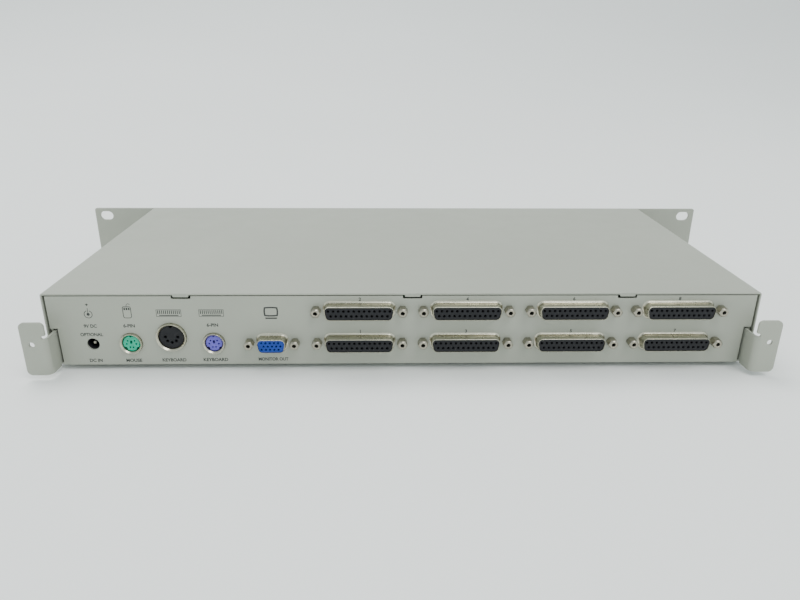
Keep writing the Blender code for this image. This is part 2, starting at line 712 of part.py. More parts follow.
def make_main_board():
    """The main board with its soldered parts, under and in front of the connectors."""
    top, sunk = BOARD_TOP, BOARD_TOP - BOARD / 2
    ys = (INSIDE_REAR - BOARD_DEPTH, INSIDE_REAR)
    xs = (-BOARD_HALF_WIDTH, BOARD_HALF_WIDTH)
    board = add_part("main_board", box("main_board", xs, ys, (top - BOARD, top)), "circuit_board")
    shapes = []

    def chip(x, y, width, depth, height):
        spans = ((x - width / 2, x + width / 2), (y - depth / 2, y + depth / 2))
        shapes.append(box("chip", *spans, (sunk, top + height)))

    def can(x, y, radius, height):
        shapes.append(rod("can", (x, y, sunk), (x, y, top + height), radius, 12))

    for _, x in port_positions():
        for shift in (-14 * MM, 14 * MM):
            chip(x + shift, -30 * MM, 20 * MM, 7.5 * MM, 3.5 * MM)
            chip(x + shift, -52 * MM, 10 * MM, 6 * MM, 1.8 * MM)
    chip(20 * MM, -85 * MM, 52 * MM, 14 * MM, 4 * MM)
    chip(-60 * MM, -90 * MM, 37 * MM, 15 * MM, 4 * MM)
    chip(55 * MM, -85 * MM, 11 * MM, 4.5 * MM, 3.5 * MM)
    chip(HEADER_X, -140 * MM, 28 * MM, 9 * MM, 5.7 * MM)
    chip(150 * MM, -60 * MM, 10 * MM, 4.5 * MM, 15 * MM)
    for x, y in ((170, -38), (158, -38), (135, -45), (95, -60)):
        can(x * MM, y * MM, 4 * MM, 11 * MM)
    can(100 * MM, -110 * MM, 6 * MM, 8 * MM)
    join(board, [add_helper("component", mesh) for mesh in shapes])


def make_front_board():
    """The upright board behind the faceplate: a switch for each button, and the header."""
    face = FRONT + FRONT_BOARD_SETBACK
    xs = (-FRONT_BOARD_HALF_WIDTH, FRONT_BOARD_HALF_WIDTH)
    plate = box("front_board", xs, (face, face + BOARD), (9.5 * MM, 34.5 * MM))
    board = add_part("front_board", plate, "circuit_board")
    sunk = face + BOARD / 2
    plunger = FRONT + TOUCH + BUTTON_LIP + BUTTON_STEM + BUTTON_TRAVEL + BUTTON_SPARE
    shapes = []
    for x in button_positions():
        zs = (BUTTON_Z - 3 * MM, BUTTON_Z + 3 * MM)
        shapes.append(box("switch", (x - 3 * MM, x + 3 * MM), (plunger, sunk), zs))
    header = (HEADER_X - 14 * MM, HEADER_X + 14 * MM)
    shapes.append(box("header", header, (sunk, face + BOARD + 5.5 * MM), (18.5 * MM, 27.5 * MM)))
    join(board, [add_helper("component", mesh) for mesh in shapes])


def make_ribbon_cable():
    """The flat cable between the boards, crimped into a socket at each end."""
    main_y, main_z = -140 * MM, 16 * MM
    front_y = FRONT + FRONT_BOARD_SETBACK + BOARD + 8 * MM
    bend, half = 6 * MM, 10.2 * MM
    route = [(main_y, main_z), (front_y + bend, main_z)]
    for number in range(1, 7):
        turn = math.pi / 2 * number / 6
        y = front_y + bend - bend * math.sin(turn)
        route.append((y, main_z + bend * (1 - math.cos(turn))))
    route.append((front_y, main_z + bend + MM))
    work = bmesh.new()
    rows = [[work.verts.new((HEADER_X + side * half, y, z)) for side in (-1, 1)] for y, z in route]
    for here, there in zip(rows, rows[1:]):
        work.faces.new((here[0], here[1], there[1], there[0]))
    cable = add_part("ribbon_cable", finish_mesh(work, "ribbon"), "cable_grey")
    thicken(cable, 0.9 * MM)
    socket = (HEADER_X - 12.5 * MM, HEADER_X + 12.5 * MM)
    main_end = box("socket", socket, (main_y - 3 * MM, main_y + 3 * MM), (13.3 * MM, 18.3 * MM))
    front_end = box("socket", socket, (front_y - 2.2 * MM, front_y + 2.4 * MM), (20 * MM, 26 * MM))
    join(cable, [add_helper("socket", mesh) for mesh in (main_end, front_end)])


def make_buttons():
    """One push button for each port: a cap, a flange that keeps it in, and a stem.

    Each button's own y = 0 is the faceplate's rear face.
    """
    face, back = -PANEL_THICKNESS - BUTTON_PROUD, TOUCH
    half, rise, lip = BUTTON_WIDTH / 2, BUTTON_HEIGHT / 2, BUTTON_LIP
    cap = box("port_button", (-half, half), (face, back + lip / 2), (-rise, rise))
    button = add_part("port_button", cap, "button_grey")
    bevel(button, 0.5 * MM, 2)
    flange = box("flange", (-half - lip, half + lip), (back, back + lip), (-rise - lip, rise + lip))
    stem_ys = (back + lip / 2, back + lip + BUTTON_STEM)
    stem = box("stem", (-1.5 * MM, 1.5 * MM), stem_ys, (-1.5 * MM, 1.5 * MM))
    join(button, [add_helper("flange", flange), add_helper("stem", stem)])
    mesh = settle(button)
    bpy.data.objects.remove(button)
    for number, x in enumerate(button_positions()):
        add_part(f"port_button_{number + 1}", mesh, "button_grey", (x, FRONT, BUTTON_Z))


def make_light_bar():
    """One clear moulding that carries the sixteen lights forward to the faceplate."""
    half = (BUTTONS / 2) * BUTTON_PITCH
    ys = (FRONT + 2 * MM, FRONT + FRONT_BOARD_SETBACK - TOUCH)
    bar = box("light_bar", (-half, half), ys, (LIGHT_Z - 2.2 * MM, LIGHT_Z + 2.2 * MM))
    pipe = add_part("light_bar", bar, "light_pipe")
    pegs = []
    for x in button_positions():
        for way in (-1, 1):
            place = x + way * LIGHT_OFFSET
            start = (place, FRONT + 3 * MM, LIGHT_Z)
            end = (place, FRONT - PANEL_THICKNESS - 0.2 * MM, LIGHT_Z)
            pegs.append(rod("peg", start, end, LIGHT_RADIUS, 8))
    join(pipe, [add_helper("peg", mesh) for mesh in pegs])


def make_cover_screws():
    for name, way, y in cover_screw_positions():
        head, under = way * COVER_WIDTH / 2, way * (COVER_WIDTH / 2 - COVER_SHEET)
        tip = way * (TRAY_HALF_WIDTH - 4.5 * MM)
        cone = rod(
            name, (under, y, COVER_SCREW_Z), (head, y, COVER_SCREW_Z),
            COVER_SCREW_RADIUS, 14, COVER_SCREW_HEAD_RADIUS,
        )
        screw = add_part(name, cone, "plated_steel")
        ends = ((tip, y, COVER_SCREW_Z), (under + way * COVER_SHEET / 2, y, COVER_SCREW_Z))
        shaft = rod("shaft", *ends, COVER_SCREW_RADIUS * 0.98, 14)
        join(screw, [add_helper("shaft", shaft)])


def make_feet():
    for end, y in (("front", FRONT + 22 * MM), ("rear", -22 * MM)):
        for side, x in (("left", -165 * MM), ("right", 165 * MM)):
            pad = rod("foot", (x, y, -FOOT_HEIGHT), (x, y, -TOUCH / 2), FOOT_RADIUS, 20)
            bevel(add_part(f"foot_{end}_{side}", pad, "foot_rubber"), 0.6 * MM, 1)


def smooth_round_faces():
    for part in parts.objects:
        part.data.shade_smooth()
        part.data.set_sharp_from_angle(angle=math.radians(35))


clear_scene()
parts = new_collection("kvm_switch", bpy.context.scene.collection)
tools = new_collection("cutters", bpy.context.scene.collection)
case_frame = bpy.data.objects.new("case_frame", None)
case_frame.location = (0, REAR_PANEL_Y, FOOT_HEIGHT)
parts.objects.link(case_frame)

make_jackscrews()
make_buttons()
make_tray()
make_cover()
make_faceplate()
make_brackets()
make_ports()
make_monitor_port()
make_round_sockets()
make_power_socket()
make_main_board()
make_front_board()
make_ribbon_cable()
make_light_bar()
make_cover_screws()
make_feet()
parts.objects.unlink(case_frame)
bpy.context.scene.collection.objects.link(case_frame)
smooth_round_faces()
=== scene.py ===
"""Looks of a rack-mount KVM switch: its painted steel case, connectors, printing and controls.

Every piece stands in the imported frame: metres, +Z up, the faceplate towards -Y and the
connector panel towards +Y, so that +X is to the right seen from the front.
"""

from math import copysign, cos, hypot, pi, radians, sin, tan

import bmesh
import bpy
from mathutils import Matrix, Vector


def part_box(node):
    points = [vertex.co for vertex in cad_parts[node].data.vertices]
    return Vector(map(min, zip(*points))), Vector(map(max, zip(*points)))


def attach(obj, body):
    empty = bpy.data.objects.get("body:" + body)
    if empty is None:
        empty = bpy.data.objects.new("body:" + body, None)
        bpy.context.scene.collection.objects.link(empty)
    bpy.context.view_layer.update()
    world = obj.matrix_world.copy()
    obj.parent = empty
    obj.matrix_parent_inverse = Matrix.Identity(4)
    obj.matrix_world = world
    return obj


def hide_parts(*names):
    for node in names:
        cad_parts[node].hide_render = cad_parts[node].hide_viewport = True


MM = 0.001

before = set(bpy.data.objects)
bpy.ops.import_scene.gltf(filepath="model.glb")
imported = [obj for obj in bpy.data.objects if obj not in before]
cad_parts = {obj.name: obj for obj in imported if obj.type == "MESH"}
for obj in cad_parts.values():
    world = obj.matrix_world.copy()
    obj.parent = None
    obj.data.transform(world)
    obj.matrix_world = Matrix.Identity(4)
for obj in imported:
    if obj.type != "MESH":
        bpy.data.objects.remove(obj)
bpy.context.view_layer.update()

# --- places read from the frame

TRAY_LOW, TRAY_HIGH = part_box("chassis_tray")
COVER_LOW, COVER_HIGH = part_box("top_cover")
PLATE_LOW, PLATE_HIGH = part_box("rack_faceplate")
BRACKET_LOW, BRACKET_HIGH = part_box("rear_bracket_right")
REAR = TRAY_HIGH.y
BASE = TRAY_LOW.z
BRACKET_FACE = BRACKET_LOW.x
BRACKET_REACH = BRACKET_HIGH.y - REAR

# Sizes of the sheet metal, connectors and controls. Most are the solids' own. The bends, gaps
# and thin walls that show in the photo are nearer to it than the solids' are.
SHEET = 1.2 * MM
COVER_SHEET = 1.0 * MM
TRAY_BEND = 0.6 * MM
COVER_BEND = 1.5 * MM
COVER_ROUND = 0.45 * MM
TOUCH = 0.3 * MM
INSIDE_REAR = REAR - SHEET - TOUCH
FLANGE_THICKNESS = 0.8 * MM
HOUSING_FACE = INSIDE_REAR - FLANGE_THICKNESS - TOUCH
PORT_WIDTH = 38.3 * MM
MONITOR_WIDTH = 16.3 * MM
D_HEIGHT = 7.9 * MM
D_CORNER = 2.6 * MM
D_SLANT = radians(10)
D_WALL = 0.35 * MM
D_FLARE = 1.4 * MM
D_PROUD = 6.0 * MM
TAB_WIDTH = 8.4 * MM
TAB_DROP = 1.15 * MM
TAB_GAP = 1.05 * MM
TABS_X = (-121.2 * MM, -3.8 * MM, 120.9 * MM)
BRACKET_INSIDE = 30.0 * MM
BRACKET_BEND = 3.5 * MM
BRACKET_FLANGE_TOP = 20.9 * MM
BRACKET_CORNER = 3.0 * MM
BRACKET_INNER_CORNER = 2.5 * MM
BRACKET_HOLE_X = 198.15 * MM
BRACKET_HOLE_Z = 17.9 * MM
BRACKET_HOLE_RADIUS = 1.5 * MM
BRACKET_RELIEF_RADIUS = 1.1 * MM
BRACKET_GAP = 1.15 * MM
RACK_SLOT_PITCH_X = 465.1 * MM
RACK_SLOT_PITCH_Z = 31.75 * MM
RACK_SLOT_SIZE = (10.0 * MM, 7.0 * MM)
BUTTONS = 8
BUTTON_SIZE = (12.0 * MM, 8.0 * MM)
BUTTON_GAP = 0.4 * MM
LIGHT_OFFSET = 3.4 * MM
LIGHT_HOLE_RADIUS = 1.7 * MM
COVER_SCREW_HEAD_RADIUS = 2.7 * MM


def middle(node):
    low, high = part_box(node)
    return (low + high) / 2


def outline_of(node):
    """The rectangle that a node's solid fills in x and z."""
    low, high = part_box(node)
    return span(low.x, low.z, high.x, high.z)


def port_columns():
    """For each pair of stacked ports: its two port numbers, and the middle of its flange in x."""
    pairs = [(number, number + 1) for number in range(1, 9, 2)]
    return [(pair, middle(f"port_shield_{pair[0]}_{pair[1]}").x) for pair in pairs]


PORT_Z = {number: middle(f"port_{number}_jackscrew_left").z for number in range(1, 9)}
MONITOR_X = middle("monitor_port_shell").x
MONITOR_Z = middle("monitor_jackscrew_left").z
POWER_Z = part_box("power_jack")[1].z - 5.2 * MM
SIDES = ("left", "right")
CONNECTORS = [f"port_{number}" for number in range(1, 9)] + ["monitor"]
JACKSCREWS = [f"{connector}_jackscrew_{side}" for connector in CONNECTORS for side in SIDES]
CORNERS = [f"{end}_{side}" for end in ("front", "rear") for side in SIDES]
COVER_SCREWS = [f"cover_screw_{corner}" for corner in CORNERS]
FEET = [f"foot_{corner}" for corner in CORNERS]
BUTTON_MIDDLES = [middle(f"port_button_{number + 1}") for number in range(BUTTONS)]
LIGHT_Z = middle("light_bar").z


# --- outlines


def rounded(corners, radius, steps=6):
    """A closed outline with each corner turned into an arc. Radius may be one value or a list."""
    points = []
    radii = radius if isinstance(radius, (list, tuple)) else [radius] * len(corners)
    for index, (corner, arc) in enumerate(zip(corners, radii)):
        here = Vector((*corner, 0))
        back = (Vector((*corners[index - 1], 0)) - here).normalized()
        onward = (Vector((*corners[(index + 1) % len(corners)], 0)) - here).normalized()
        if arc == 0:
            points.append(here)
            continue
        half = back.angle(onward) / 2
        centre = here + (back + onward).normalized() * arc / sin(half)
        first = (here + back * arc / tan(half) - centre).normalized()
        last = (here + onward * arc / tan(half) - centre).normalized()
        points += [centre + arc * first.slerp(last, step / steps) for step in range(steps + 1)]
    return [(point.x, point.y) for point in points]


def span(left, bottom, right, top):
    return [(left, bottom), (right, bottom), (right, top), (left, top)]


def rectangle(width, height, x=0.0, z=0.0):
    return span(x - width / 2, z - height / 2, x + width / 2, z + height / 2)


def circle(radius, x, z, sides):
    turns = [2 * pi * (step + 0.5) / sides for step in range(sides)]
    return [(x + radius * cos(turn), z + radius * sin(turn)) for turn in turns]


def d_outline(width, x, z, grow=0.0, steps=7):
    """A D connector's outline, its wide side up. Grow moves the whole outline outwards."""
    half, rise = width / 2 + grow, D_HEIGHT / 2 + grow
    lean = 2 * rise * tan(D_SLANT)
    corners = [
        (x - half + lean, z - rise),
        (x + half - lean, z - rise),
        (x + half, z + rise),
        (x - half, z + rise),
    ]
    return rounded(corners, D_CORNER + grow, steps)


def notched_disc(radius, x, z, notches, sides=72):
    """A disc's outline with square keyways: each notch has an angle, a width and a depth."""
    points = []
    for step in range(sides):
        turn = 2 * pi * step / sides
        reach = radius
        for angle, width, depth in notches:
            away = (turn - angle + pi) % (2 * pi) - pi
            if abs(radius * sin(away)) < width / 2 and cos(away) > 0:
                reach = (radius - depth) / cos(away)
        points.append((x + reach * cos(turn), z + reach * sin(turn)))
    return points


# --- mesh making


def stand(name, work, closed=True):
    """A new object in the scene from a finished mesh. A closed one has all its faces outwards."""
    if closed:
        bmesh.ops.recalc_face_normals(work, faces=work.faces)
    mesh = bpy.data.meshes.new(name)
    work.to_mesh(mesh)
    work.free()
    thing = bpy.data.objects.new(name, mesh)
    bpy.context.scene.collection.objects.link(thing)
    return thing


def add_piece(name, work, looks, node=None, body="enclosure", closed=True):
    """A piece with its materials, riding on its body, and standing for its node if it has one."""
    piece = stand(name, work, closed)
    for material in looks if isinstance(looks, list) else [looks]:
        piece.data.materials.append(material)
    smooth(piece)
    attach(piece, body)
    if node:
        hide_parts(node)
    return piece


def smooth(piece, angle=35):
    piece.data.shade_smooth()
    piece.data.set_sharp_from_angle(angle=radians(angle))


def soften_edges(piece, width):
    """Takes the sharpness off a piece's edges, and keeps its flat faces flat."""
    bevel = piece.modifiers.new("Edges", "BEVEL")
    bevel.width = width
    bevel.segments = 2
    bevel.limit_method = "ANGLE"
    bevel.angle_limit = radians(40)
    bevel.harden_normals = True


def settle(piece):
    """Works a piece's modifiers into its mesh."""
    bpy.context.view_layer.update()
    graph = bpy.context.evaluated_depsgraph_get()
    mesh = bpy.data.meshes.new_from_object(piece.evaluated_get(graph))
    piece.modifiers.clear()
    piece.data = mesh
    return piece


def ring(work, outline, y):
    return [work.verts.new((x, y, z)) for x, z in outline]


def skin(work, rings):
    """Faces from each ring to the next. The rings have the same number of points."""
    for here, there in zip(rings, rings[1:]):
        count = len(here)
        for index in range(count):
            after = (index + 1) % count
            work.faces.new((here[index], here[after], there[after], there[index]))


def loop_edges(work, loop):
    pairs = zip(loop, loop[1:] + loop[:1])
    return [work.edges.get(pair) or work.edges.new(pair) for pair in pairs]


def fill(work, loops):
    """Flat faces inside the first loop and outside the others."""
    edges = [edge for loop in loops for edge in loop_edges(work, loop)]
    bmesh.ops.triangle_fill(work, use_beauty=True, use_dissolve=False, edges=edges)


def stepped(work, steps):
    """Rings through a list of (outline, y), joined to each other. Returns the first and last."""
    rings = [ring(work, outline, y) for outline, y in steps]
    skin(work, rings)
    return rings[0], rings[-1]


def walled(work, walls):
    """A solid between two flat faces: its outside wall, and then the walls of its holes.

    Each wall is a list of (outline, y) from one of the faces to the other.
    """
    ends = [stepped(work, steps) for steps in walls]
    for loops in zip(*ends):
        fill(work, loops)


def block(work, outline, y_back, y_face, raised=(), sunk=()):
    """A solid between two values of y, from an outline in x and z.

    Each raised shape is a list of (outline, y) from the front face outwards, then its own
    list of sunk shapes. Each sunk shape is a list of (outline, y) from a face inwards.
    """
    back, front = stepped(work, [(outline, y_back), (outline, y_face)])
    fill(work, [back])
    cuts = [sink(work, shape) for shape in sunk]
    feet = []
    for shape, holes in raised:
        foot, top = stepped(work, shape)
        fill(work, [top, *[sink(work, hole) for hole in holes]])
        feet.append(foot)
    fill(work, [front, *feet, *cuts])


def sink(work, shape):
    """A pocket from a face inwards. Returns its mouth."""
    mouth, floor = stepped(work, shape)
    fill(work, [floor])
    return mouth


def turned(work, profile, centre, steps, way="Y"):
    """A closed ring or a solid turned about an axis through the centre.

    The profile is a list of (radius, distance along the axis). A radius of 0 closes it.
    """
    rings = []
    for radius, along in profile:
        if radius == 0:
            rings.append([work.verts.new(on_axis(0, along, 0, centre, way))])
            continue
        turns = [2 * pi * step / steps for step in range(steps)]
        rings.append([work.verts.new(on_axis(radius, along, turn, centre, way)) for turn in turns])
    pairs = list(zip(rings, rings[1:]))
    if profile[0][0] and profile[-1][0]:
        pairs.append((rings[-1], rings[0]))
    for here, there in pairs:
        for index in range(steps):
            after = (index + 1) % steps
            corners = [here[index % len(here)], here[after % len(here)]]
            corners += [there[after % len(there)], there[index % len(there)]]
            work.faces.new(list(dict.fromkeys(corners)))


def on_axis(radius, along, turn, centre, way):
    across, up = radius * cos(turn), radius * sin(turn)
    offset = {"X": (along, across, up), "Y": (across, along, up), "Z": (across, up, along)}[way]
    return Vector(centre) + Vector(offset)


def arc(radius, along, size, start, end, steps=5):
    """Profile points round a quarter or so of a circle: its centre, its size and two angles."""
    turns = [radians(start + (end - start) * step / steps) for step in range(steps + 1)]
    return [(radius + size * cos(turn), along + size * sin(turn)) for turn in turns]


# --- materials


class Nodes:
    """A tree of shader nodes, and the texture coordinate that its textures start from."""

    def __init__(self, tree, place):
        self.tree = tree
        self.place = self.node("ShaderNodeTexCoord").outputs[place]

    def node(self, kind, **inputs):
        made = self.tree.nodes.new(kind)
        for name, value in inputs.items():
            self.put(made.inputs[name], value)
        return made

    def put(self, socket, value):
        if isinstance(value, bpy.types.NodeSocket):
            self.tree.links.new(value, socket)
        else:
            socket.default_value = value

    def combine(self, operation, *values):
        made = self.node("ShaderNodeMath")
        made.operation = operation
        for socket, value in zip(made.inputs, values):
            self.put(socket, value)
        return made.outputs[0]

    def between(self, factor, low, high, start=0.3, end=0.7):
        """A value from low to high as the factor goes from start to end."""
        ends = {"From Min": start, "From Max": end, "To Min": low, "To Max": high}
        return self.node("ShaderNodeMapRange", Value=factor, **ends).outputs["Result"]


class Look(Nodes):
    """A Principled material that is put together node by node."""

    def __init__(self, name, colour, roughness, metallic=0.0):
        self.material = bpy.data.materials.new(name)
        self.material.use_nodes = True
        super().__init__(self.material.node_tree, "Object")
        self.shader = self.tree.nodes["Principled BSDF"].inputs
        self.shader["Base Color"].default_value = (*colour, 1)
        self.shader["Roughness"].default_value = roughness
        self.shader["Metallic"].default_value = metallic

    def noise(self, scale, detail=2, stretch=(1, 1, 1)):
        """Cloudy noise from 0 to 1, with about that many blotches to a metre."""
        place = self.node("ShaderNodeMapping", Vector=self.place, Scale=stretch).outputs["Vector"]
        return self.node("ShaderNodeTexNoise", Vector=place, Scale=scale, Detail=detail).outputs["Fac"]

    def cloud(self, scale, detail, start=0.3, end=0.7):
        """Noise with its middle stretched out to run from 0 to 1."""
        return self.between(self.noise(scale, detail), 0.0, 1.0, start, end)

    def blend(self, factor, first, second):
        made = self.node("ShaderNodeMix", Factor=factor)
        made.data_type = "RGBA"
        for socket, colour in ((made.inputs[6], first), (made.inputs[7], second)):
            self.put(socket, (*colour, 1) if isinstance(colour, tuple) else colour)
        return made.outputs[2]

    def colour(self, factor, first, second):
        self.put(self.shader["Base Color"], self.blend(factor, first, second))

    def gloss(self, low, high, scale, detail=2):
        """Roughness that wanders between two values."""
        self.put(self.shader["Roughness"], self.between(self.noise(scale, detail), low, high))

    def bump(self, height, depth, strength):
        made = self.node("ShaderNodeBump", Height=height, Distance=depth, Strength=strength)
        self.put(self.shader["Normal"], made.outputs["Normal"])


def scaled(colour, factor):
    return tuple(value * factor for value in colour)


def paint_look():
    """Light grey powder coat: a satin skin with a fine orange peel and faint cloudiness."""
    grey = (0.335, 0.345, 0.29)
    look = Look("case_paint", grey, 0.45)
    tint = look.blend(look.cloud(14, 4), scaled(grey, 0.97), scaled(grey, 1.02))
    look.colour(look.cloud(2600, 2, 0.62, 0.78), tint, scaled(grey, 0.9))
    look.gloss(0.42, 0.52, 60, 3)
    peel = look.combine("MULTIPLY_ADD", look.noise(3200), 0.35, look.noise(900))
    look.bump(peel, 0.00003, 0.6)
    return look.material


def plated_look(name, metal, low, high):
    """Bright plating over stamped steel: fine drawing marks and uneven gloss."""
    look = Look(name, metal, low, 1.0)
    look.colour(look.cloud(90, 3), scaled(metal, 0.93), scaled(metal, 1.03))
    look.gloss(low, high, 150)
    look.bump(look.noise(400, 1, (1, 4, 1)), 0.000002, 0.3)
    return look.material


def moulded_look(name, colour, roughness, wear=1.25, shine=0.5):
    """Moulded plastic: a fine spark-eroded grain, and a little unevenness in colour."""
    look = Look(name, colour, roughness)
    look.shader["Specular IOR Level"].default_value = shine
    look.colour(look.cloud(350, 3), scaled(colour, 0.9), scaled(colour, wear))
    look.gloss(roughness - 0.06, roughness + 0.08, 1500)
    look.bump(look.noise(6000), 0.00001, 0.5)
    return look.material


def ink_look():
    """Silk-screened ink: nearly black, a little thin in places."""
    black = (0.02, 0.021, 0.02)
    look = Look("printing_ink", black, 0.6)
    look.colour(look.cloud(1800, 3, 0.45, 0.85), black, (0.06, 0.062, 0.058))
    look.bump(look.noise(5000), 0.000005, 0.4)
    return look.material


def rubber_look():
    look = Look("foot_rubber", (0.02, 0.02, 0.02), 0.85)
    look.colour(look.cloud(240, 4), (0.018, 0.018, 0.018), (0.05, 0.048, 0.045))
    look.gloss(0.78, 0.95, 900)
    look.bump(look.noise(2500, 3), 0.00003, 0.6)
    return look.material


def board_look():
    """Green solder mask with darker tracks under it."""
    green = (0.015, 0.14, 0.05)
    look = Look("circuit_board", green, 0.3)
    bricks = {"Scale": 160.0, "Mortar Size": 0.03}
    tracks = look.node("ShaderNodeTexBrick", Vector=look.place, **bricks).outputs["Fac"]
    base = look.blend(look.cloud(90, 3), scaled(green, 0.85), scaled(green, 1.2))
    look.colour(tracks, base, (0.03, 0.22, 0.08))
    look.gloss(0.26, 0.4, 300)
    look.bump(look.combine("MULTIPLY_ADD", look.noise(900), 0.2, tracks), 0.00004, 0.5)
    return look.material


def ribbon_look():
    """Grey flat cable with parallel cores."""
    look = Look("cable_grey", (0.4, 0.4, 0.4), 0.5)
    cores = look.node("ShaderNodeTexWave", Vector=look.place, Scale=1 / (1.27 * MM) / 6.2832)
    cores.bands_direction = "X"
    grey = look.blend(cores.outputs["Fac"], (0.3, 0.3, 0.3), (0.45, 0.45, 0.45))
    look.colour(look.between(look.noise(200), 0.0, 0.3), grey, (0.36, 0.36, 0.38))
    look.gloss(0.45, 0.6, 500)
    look.bump(cores.outputs["Fac"], 0.0002, 0.8)
    return look.material


def lens_look(name, colour):
    """A light's clear tinted lens, unlit."""
    look = Look(name, colour, 0.2)
    look.shader["Transmission Weight"].default_value = 0.35
    look.shader["IOR"].default_value = 1.49
    look.colour(look.cloud(900, 2), scaled(colour, 0.92), scaled(colour, 1.05))
    look.gloss(0.16, 0.26, 1200)
    look.bump(look.noise(2500), 0.00001, 0.3)
    return look.material


PAINT = paint_look()
PLATED = plated_look("plated_steel", (0.52, 0.5, 0.4), 0.24, 0.32)
SCREW_METAL = plated_look("plated_screws", (0.34, 0.32, 0.26), 0.28, 0.38)
# A darker steel for the threaded bores: painted shade that stands in for the shade deep inside the
# holes.
PAINTED_BORE_SHADE = plated_look("thread_painted_shade", (0.12, 0.115, 0.1), 0.45, 0.6)
GOLD = plated_look("gold_contacts", (0.78, 0.56, 0.24), 0.2, 0.34)
BLACK = moulded_look("black_plastic", (0.011, 0.011, 0.013), 0.5, shine=0.22)
BLUE = moulded_look("monitor_blue", (0.006, 0.04, 0.26), 0.5, 1.15, 0.3)
GREEN = moulded_look("mouse_green", (0.012, 0.4, 0.24), 0.45, 1.1, 0.35)
PURPLE = moulded_look("keyboard_purple", (0.12, 0.1, 0.48), 0.45, 1.1, 0.35)
KEYCAP = moulded_look("button_grey", (0.16, 0.165, 0.165), 0.45, 1.1)
INK = ink_look()
RUBBER = rubber_look()
BOARD = board_look()
RIBBON = ribbon_look()
LENS_CLEAR = lens_look("light_pipe", (0.75, 0.8, 0.75))
LENS_GREEN = lens_look("lens_green", (0.12, 0.55, 0.2))
LENS_RED = lens_look("lens_red", (0.6, 0.08, 0.05))


# --- sheet-metal case


def folded_box(name, low, high, open_sides, thickness, node):
    """A case part as a sheet: a box without the sides whose outward normals are listed."""
    work = bmesh.new()
    bmesh.ops.create_cube(work, size=1)
    shape = Matrix.LocRotScale((low + high) / 2, None, high - low)
    bmesh.ops.transform(work, matrix=shape, verts=work.verts)
    gone = [f for f in work.faces if any(f.normal.dot(Vector(way)) > 0.9 for way in open_sides)]
    bmesh.ops.delete(work, geom=gone, context="FACES")
    sheet = add_piece(name, work, PAINT, node, closed=False)
    thicken(sheet, thickness)
    return settle(sheet)


def thicken(piece, thickness):
    sheet = piece.modifiers.new("Sheet", "SOLIDIFY")
    sheet.thickness = thickness
    sheet.offset = -1
    sheet.use_even_offset = True


def round_between(piece, width, first, second):
    """Rounds each sharp edge between a face that passes one test and a face that passes another."""
    work = bmesh.new()
    work.from_mesh(piece.data)
    chosen = []
    for edge in work.edges:
        one, other = edge.link_faces
        meets = (first(one) and second(other)) or (first(other) and second(one))
        if meets and edge.calc_face_angle() > radians(60):
            chosen.append(edge)
    bmesh.ops.bevel(
        work, geom=chosen, offset=width, segments=5, profile=0.5, affect="EDGES", offset_type="OFFSET"
    )
    work.to_mesh(piece.data)
    work.free()


def cut(piece, work, operation="DIFFERENCE"):
    """Cuts a closed shape from a piece, or joins it on, and works the result into its mesh."""
    cutter = stand("cutter", work)
    boolean = piece.modifiers.new("Cut", "BOOLEAN")
    boolean.operation = operation
    boolean.object = cutter
    boolean.solver = "EXACT"
    settle(piece)
    bpy.data.objects.remove(cutter)


def bar(work, outline, y_from, y_to):
    """A straight-sided solid along y."""
    walled(work, [[(outline, y_from), (outline, y_to)]])


def side_bar(work, radius, y, z, x_from, x_to, steps, end_radius=None):
    """A round or tapered solid along x."""
    last = radius if end_radius is None else end_radius
    turned(work, [(0, x_from), (radius, x_from), (last, x_to), (0, x_to)], (0, y, z), steps, "X")


def make_tray():
    """Floor, walls and connector panel, with every opening that a connector comes out of."""
    half = TRAY_HIGH.x
    tray = folded_box("case_tray", TRAY_LOW, TRAY_HIGH, [(0, 0, 1)], SHEET, "chassis_tray")
    centre = (TRAY_LOW + TRAY_HIGH) / 2

    def outside(face):
        return face.normal.dot(face.calc_center_median() - centre) > 0 and face.normal.z < 0.5

    round_between(tray, TRAY_BEND, outside, outside)
    ports = [(x, PORT_Z[number]) for pair, x in port_columns() for number in pair]
    openings = [d_outline(PORT_WIDTH, x, z, D_FLARE + 0.1 * MM) for x, z in ports]
    openings.append(d_outline(MONITOR_WIDTH, MONITOR_X, MONITOR_Z, D_FLARE + 0.1 * MM))
    openings += [circle(1.8 * MM, *middle(name).xz, 24) for name in JACKSCREWS]
    for name, radius in (("mouse", 6.1), ("keyboard", 6.1), ("din", 8.3)):
        openings.append(circle(radius * MM, *middle(f"{name}_socket_shell").xz, 64))
    openings.append(circle(3.4 * MM, middle("power_jack").x, POWER_Z, 64))
    notch_floor = COVER_HIGH.z - COVER_SHEET - TAB_DROP - TAB_GAP
    for x in TABS_X:
        notch = rectangle(TAB_WIDTH + 2 * TAB_GAP, 4 * MM, x, notch_floor + 2 * MM)
        openings.append(rounded(notch, [0.5 * MM, 0.5 * MM, 0, 0], 3))
    holes = bmesh.new()
    near, far = REAR - 3 * SHEET, REAR + 2 * SHEET
    for outline in openings:
        bar(holes, outline, near, far)
    notch_top = BASE + BRACKET_FLANGE_TOP + BRACKET_GAP
    for way in (-1, 1):
        left, right = sorted((way * (BRACKET_FACE - BRACKET_GAP), way * (half + SHEET)))
        notch = span(left, BASE - SHEET, right, notch_top)
        bar(holes, notch, REAR - SHEET - 0.15 * MM, far)
    window = rectangle(300 * MM, 26 * MM, 0, BASE + 22 * MM)
    bar(holes, window, TRAY_LOW.y - SHEET, TRAY_LOW.y + 2 * SHEET)
    for name in COVER_SCREWS:
        place = middle(name)
        way = copysign(1, place.x)
        side_bar(holes, 1.8 * MM, place.y, place.z, way * (half - 3 * SHEET), way * (half + SHEET), 24)
    cut(tray, holes)
    soften_edges(tray, 0.12 * MM)


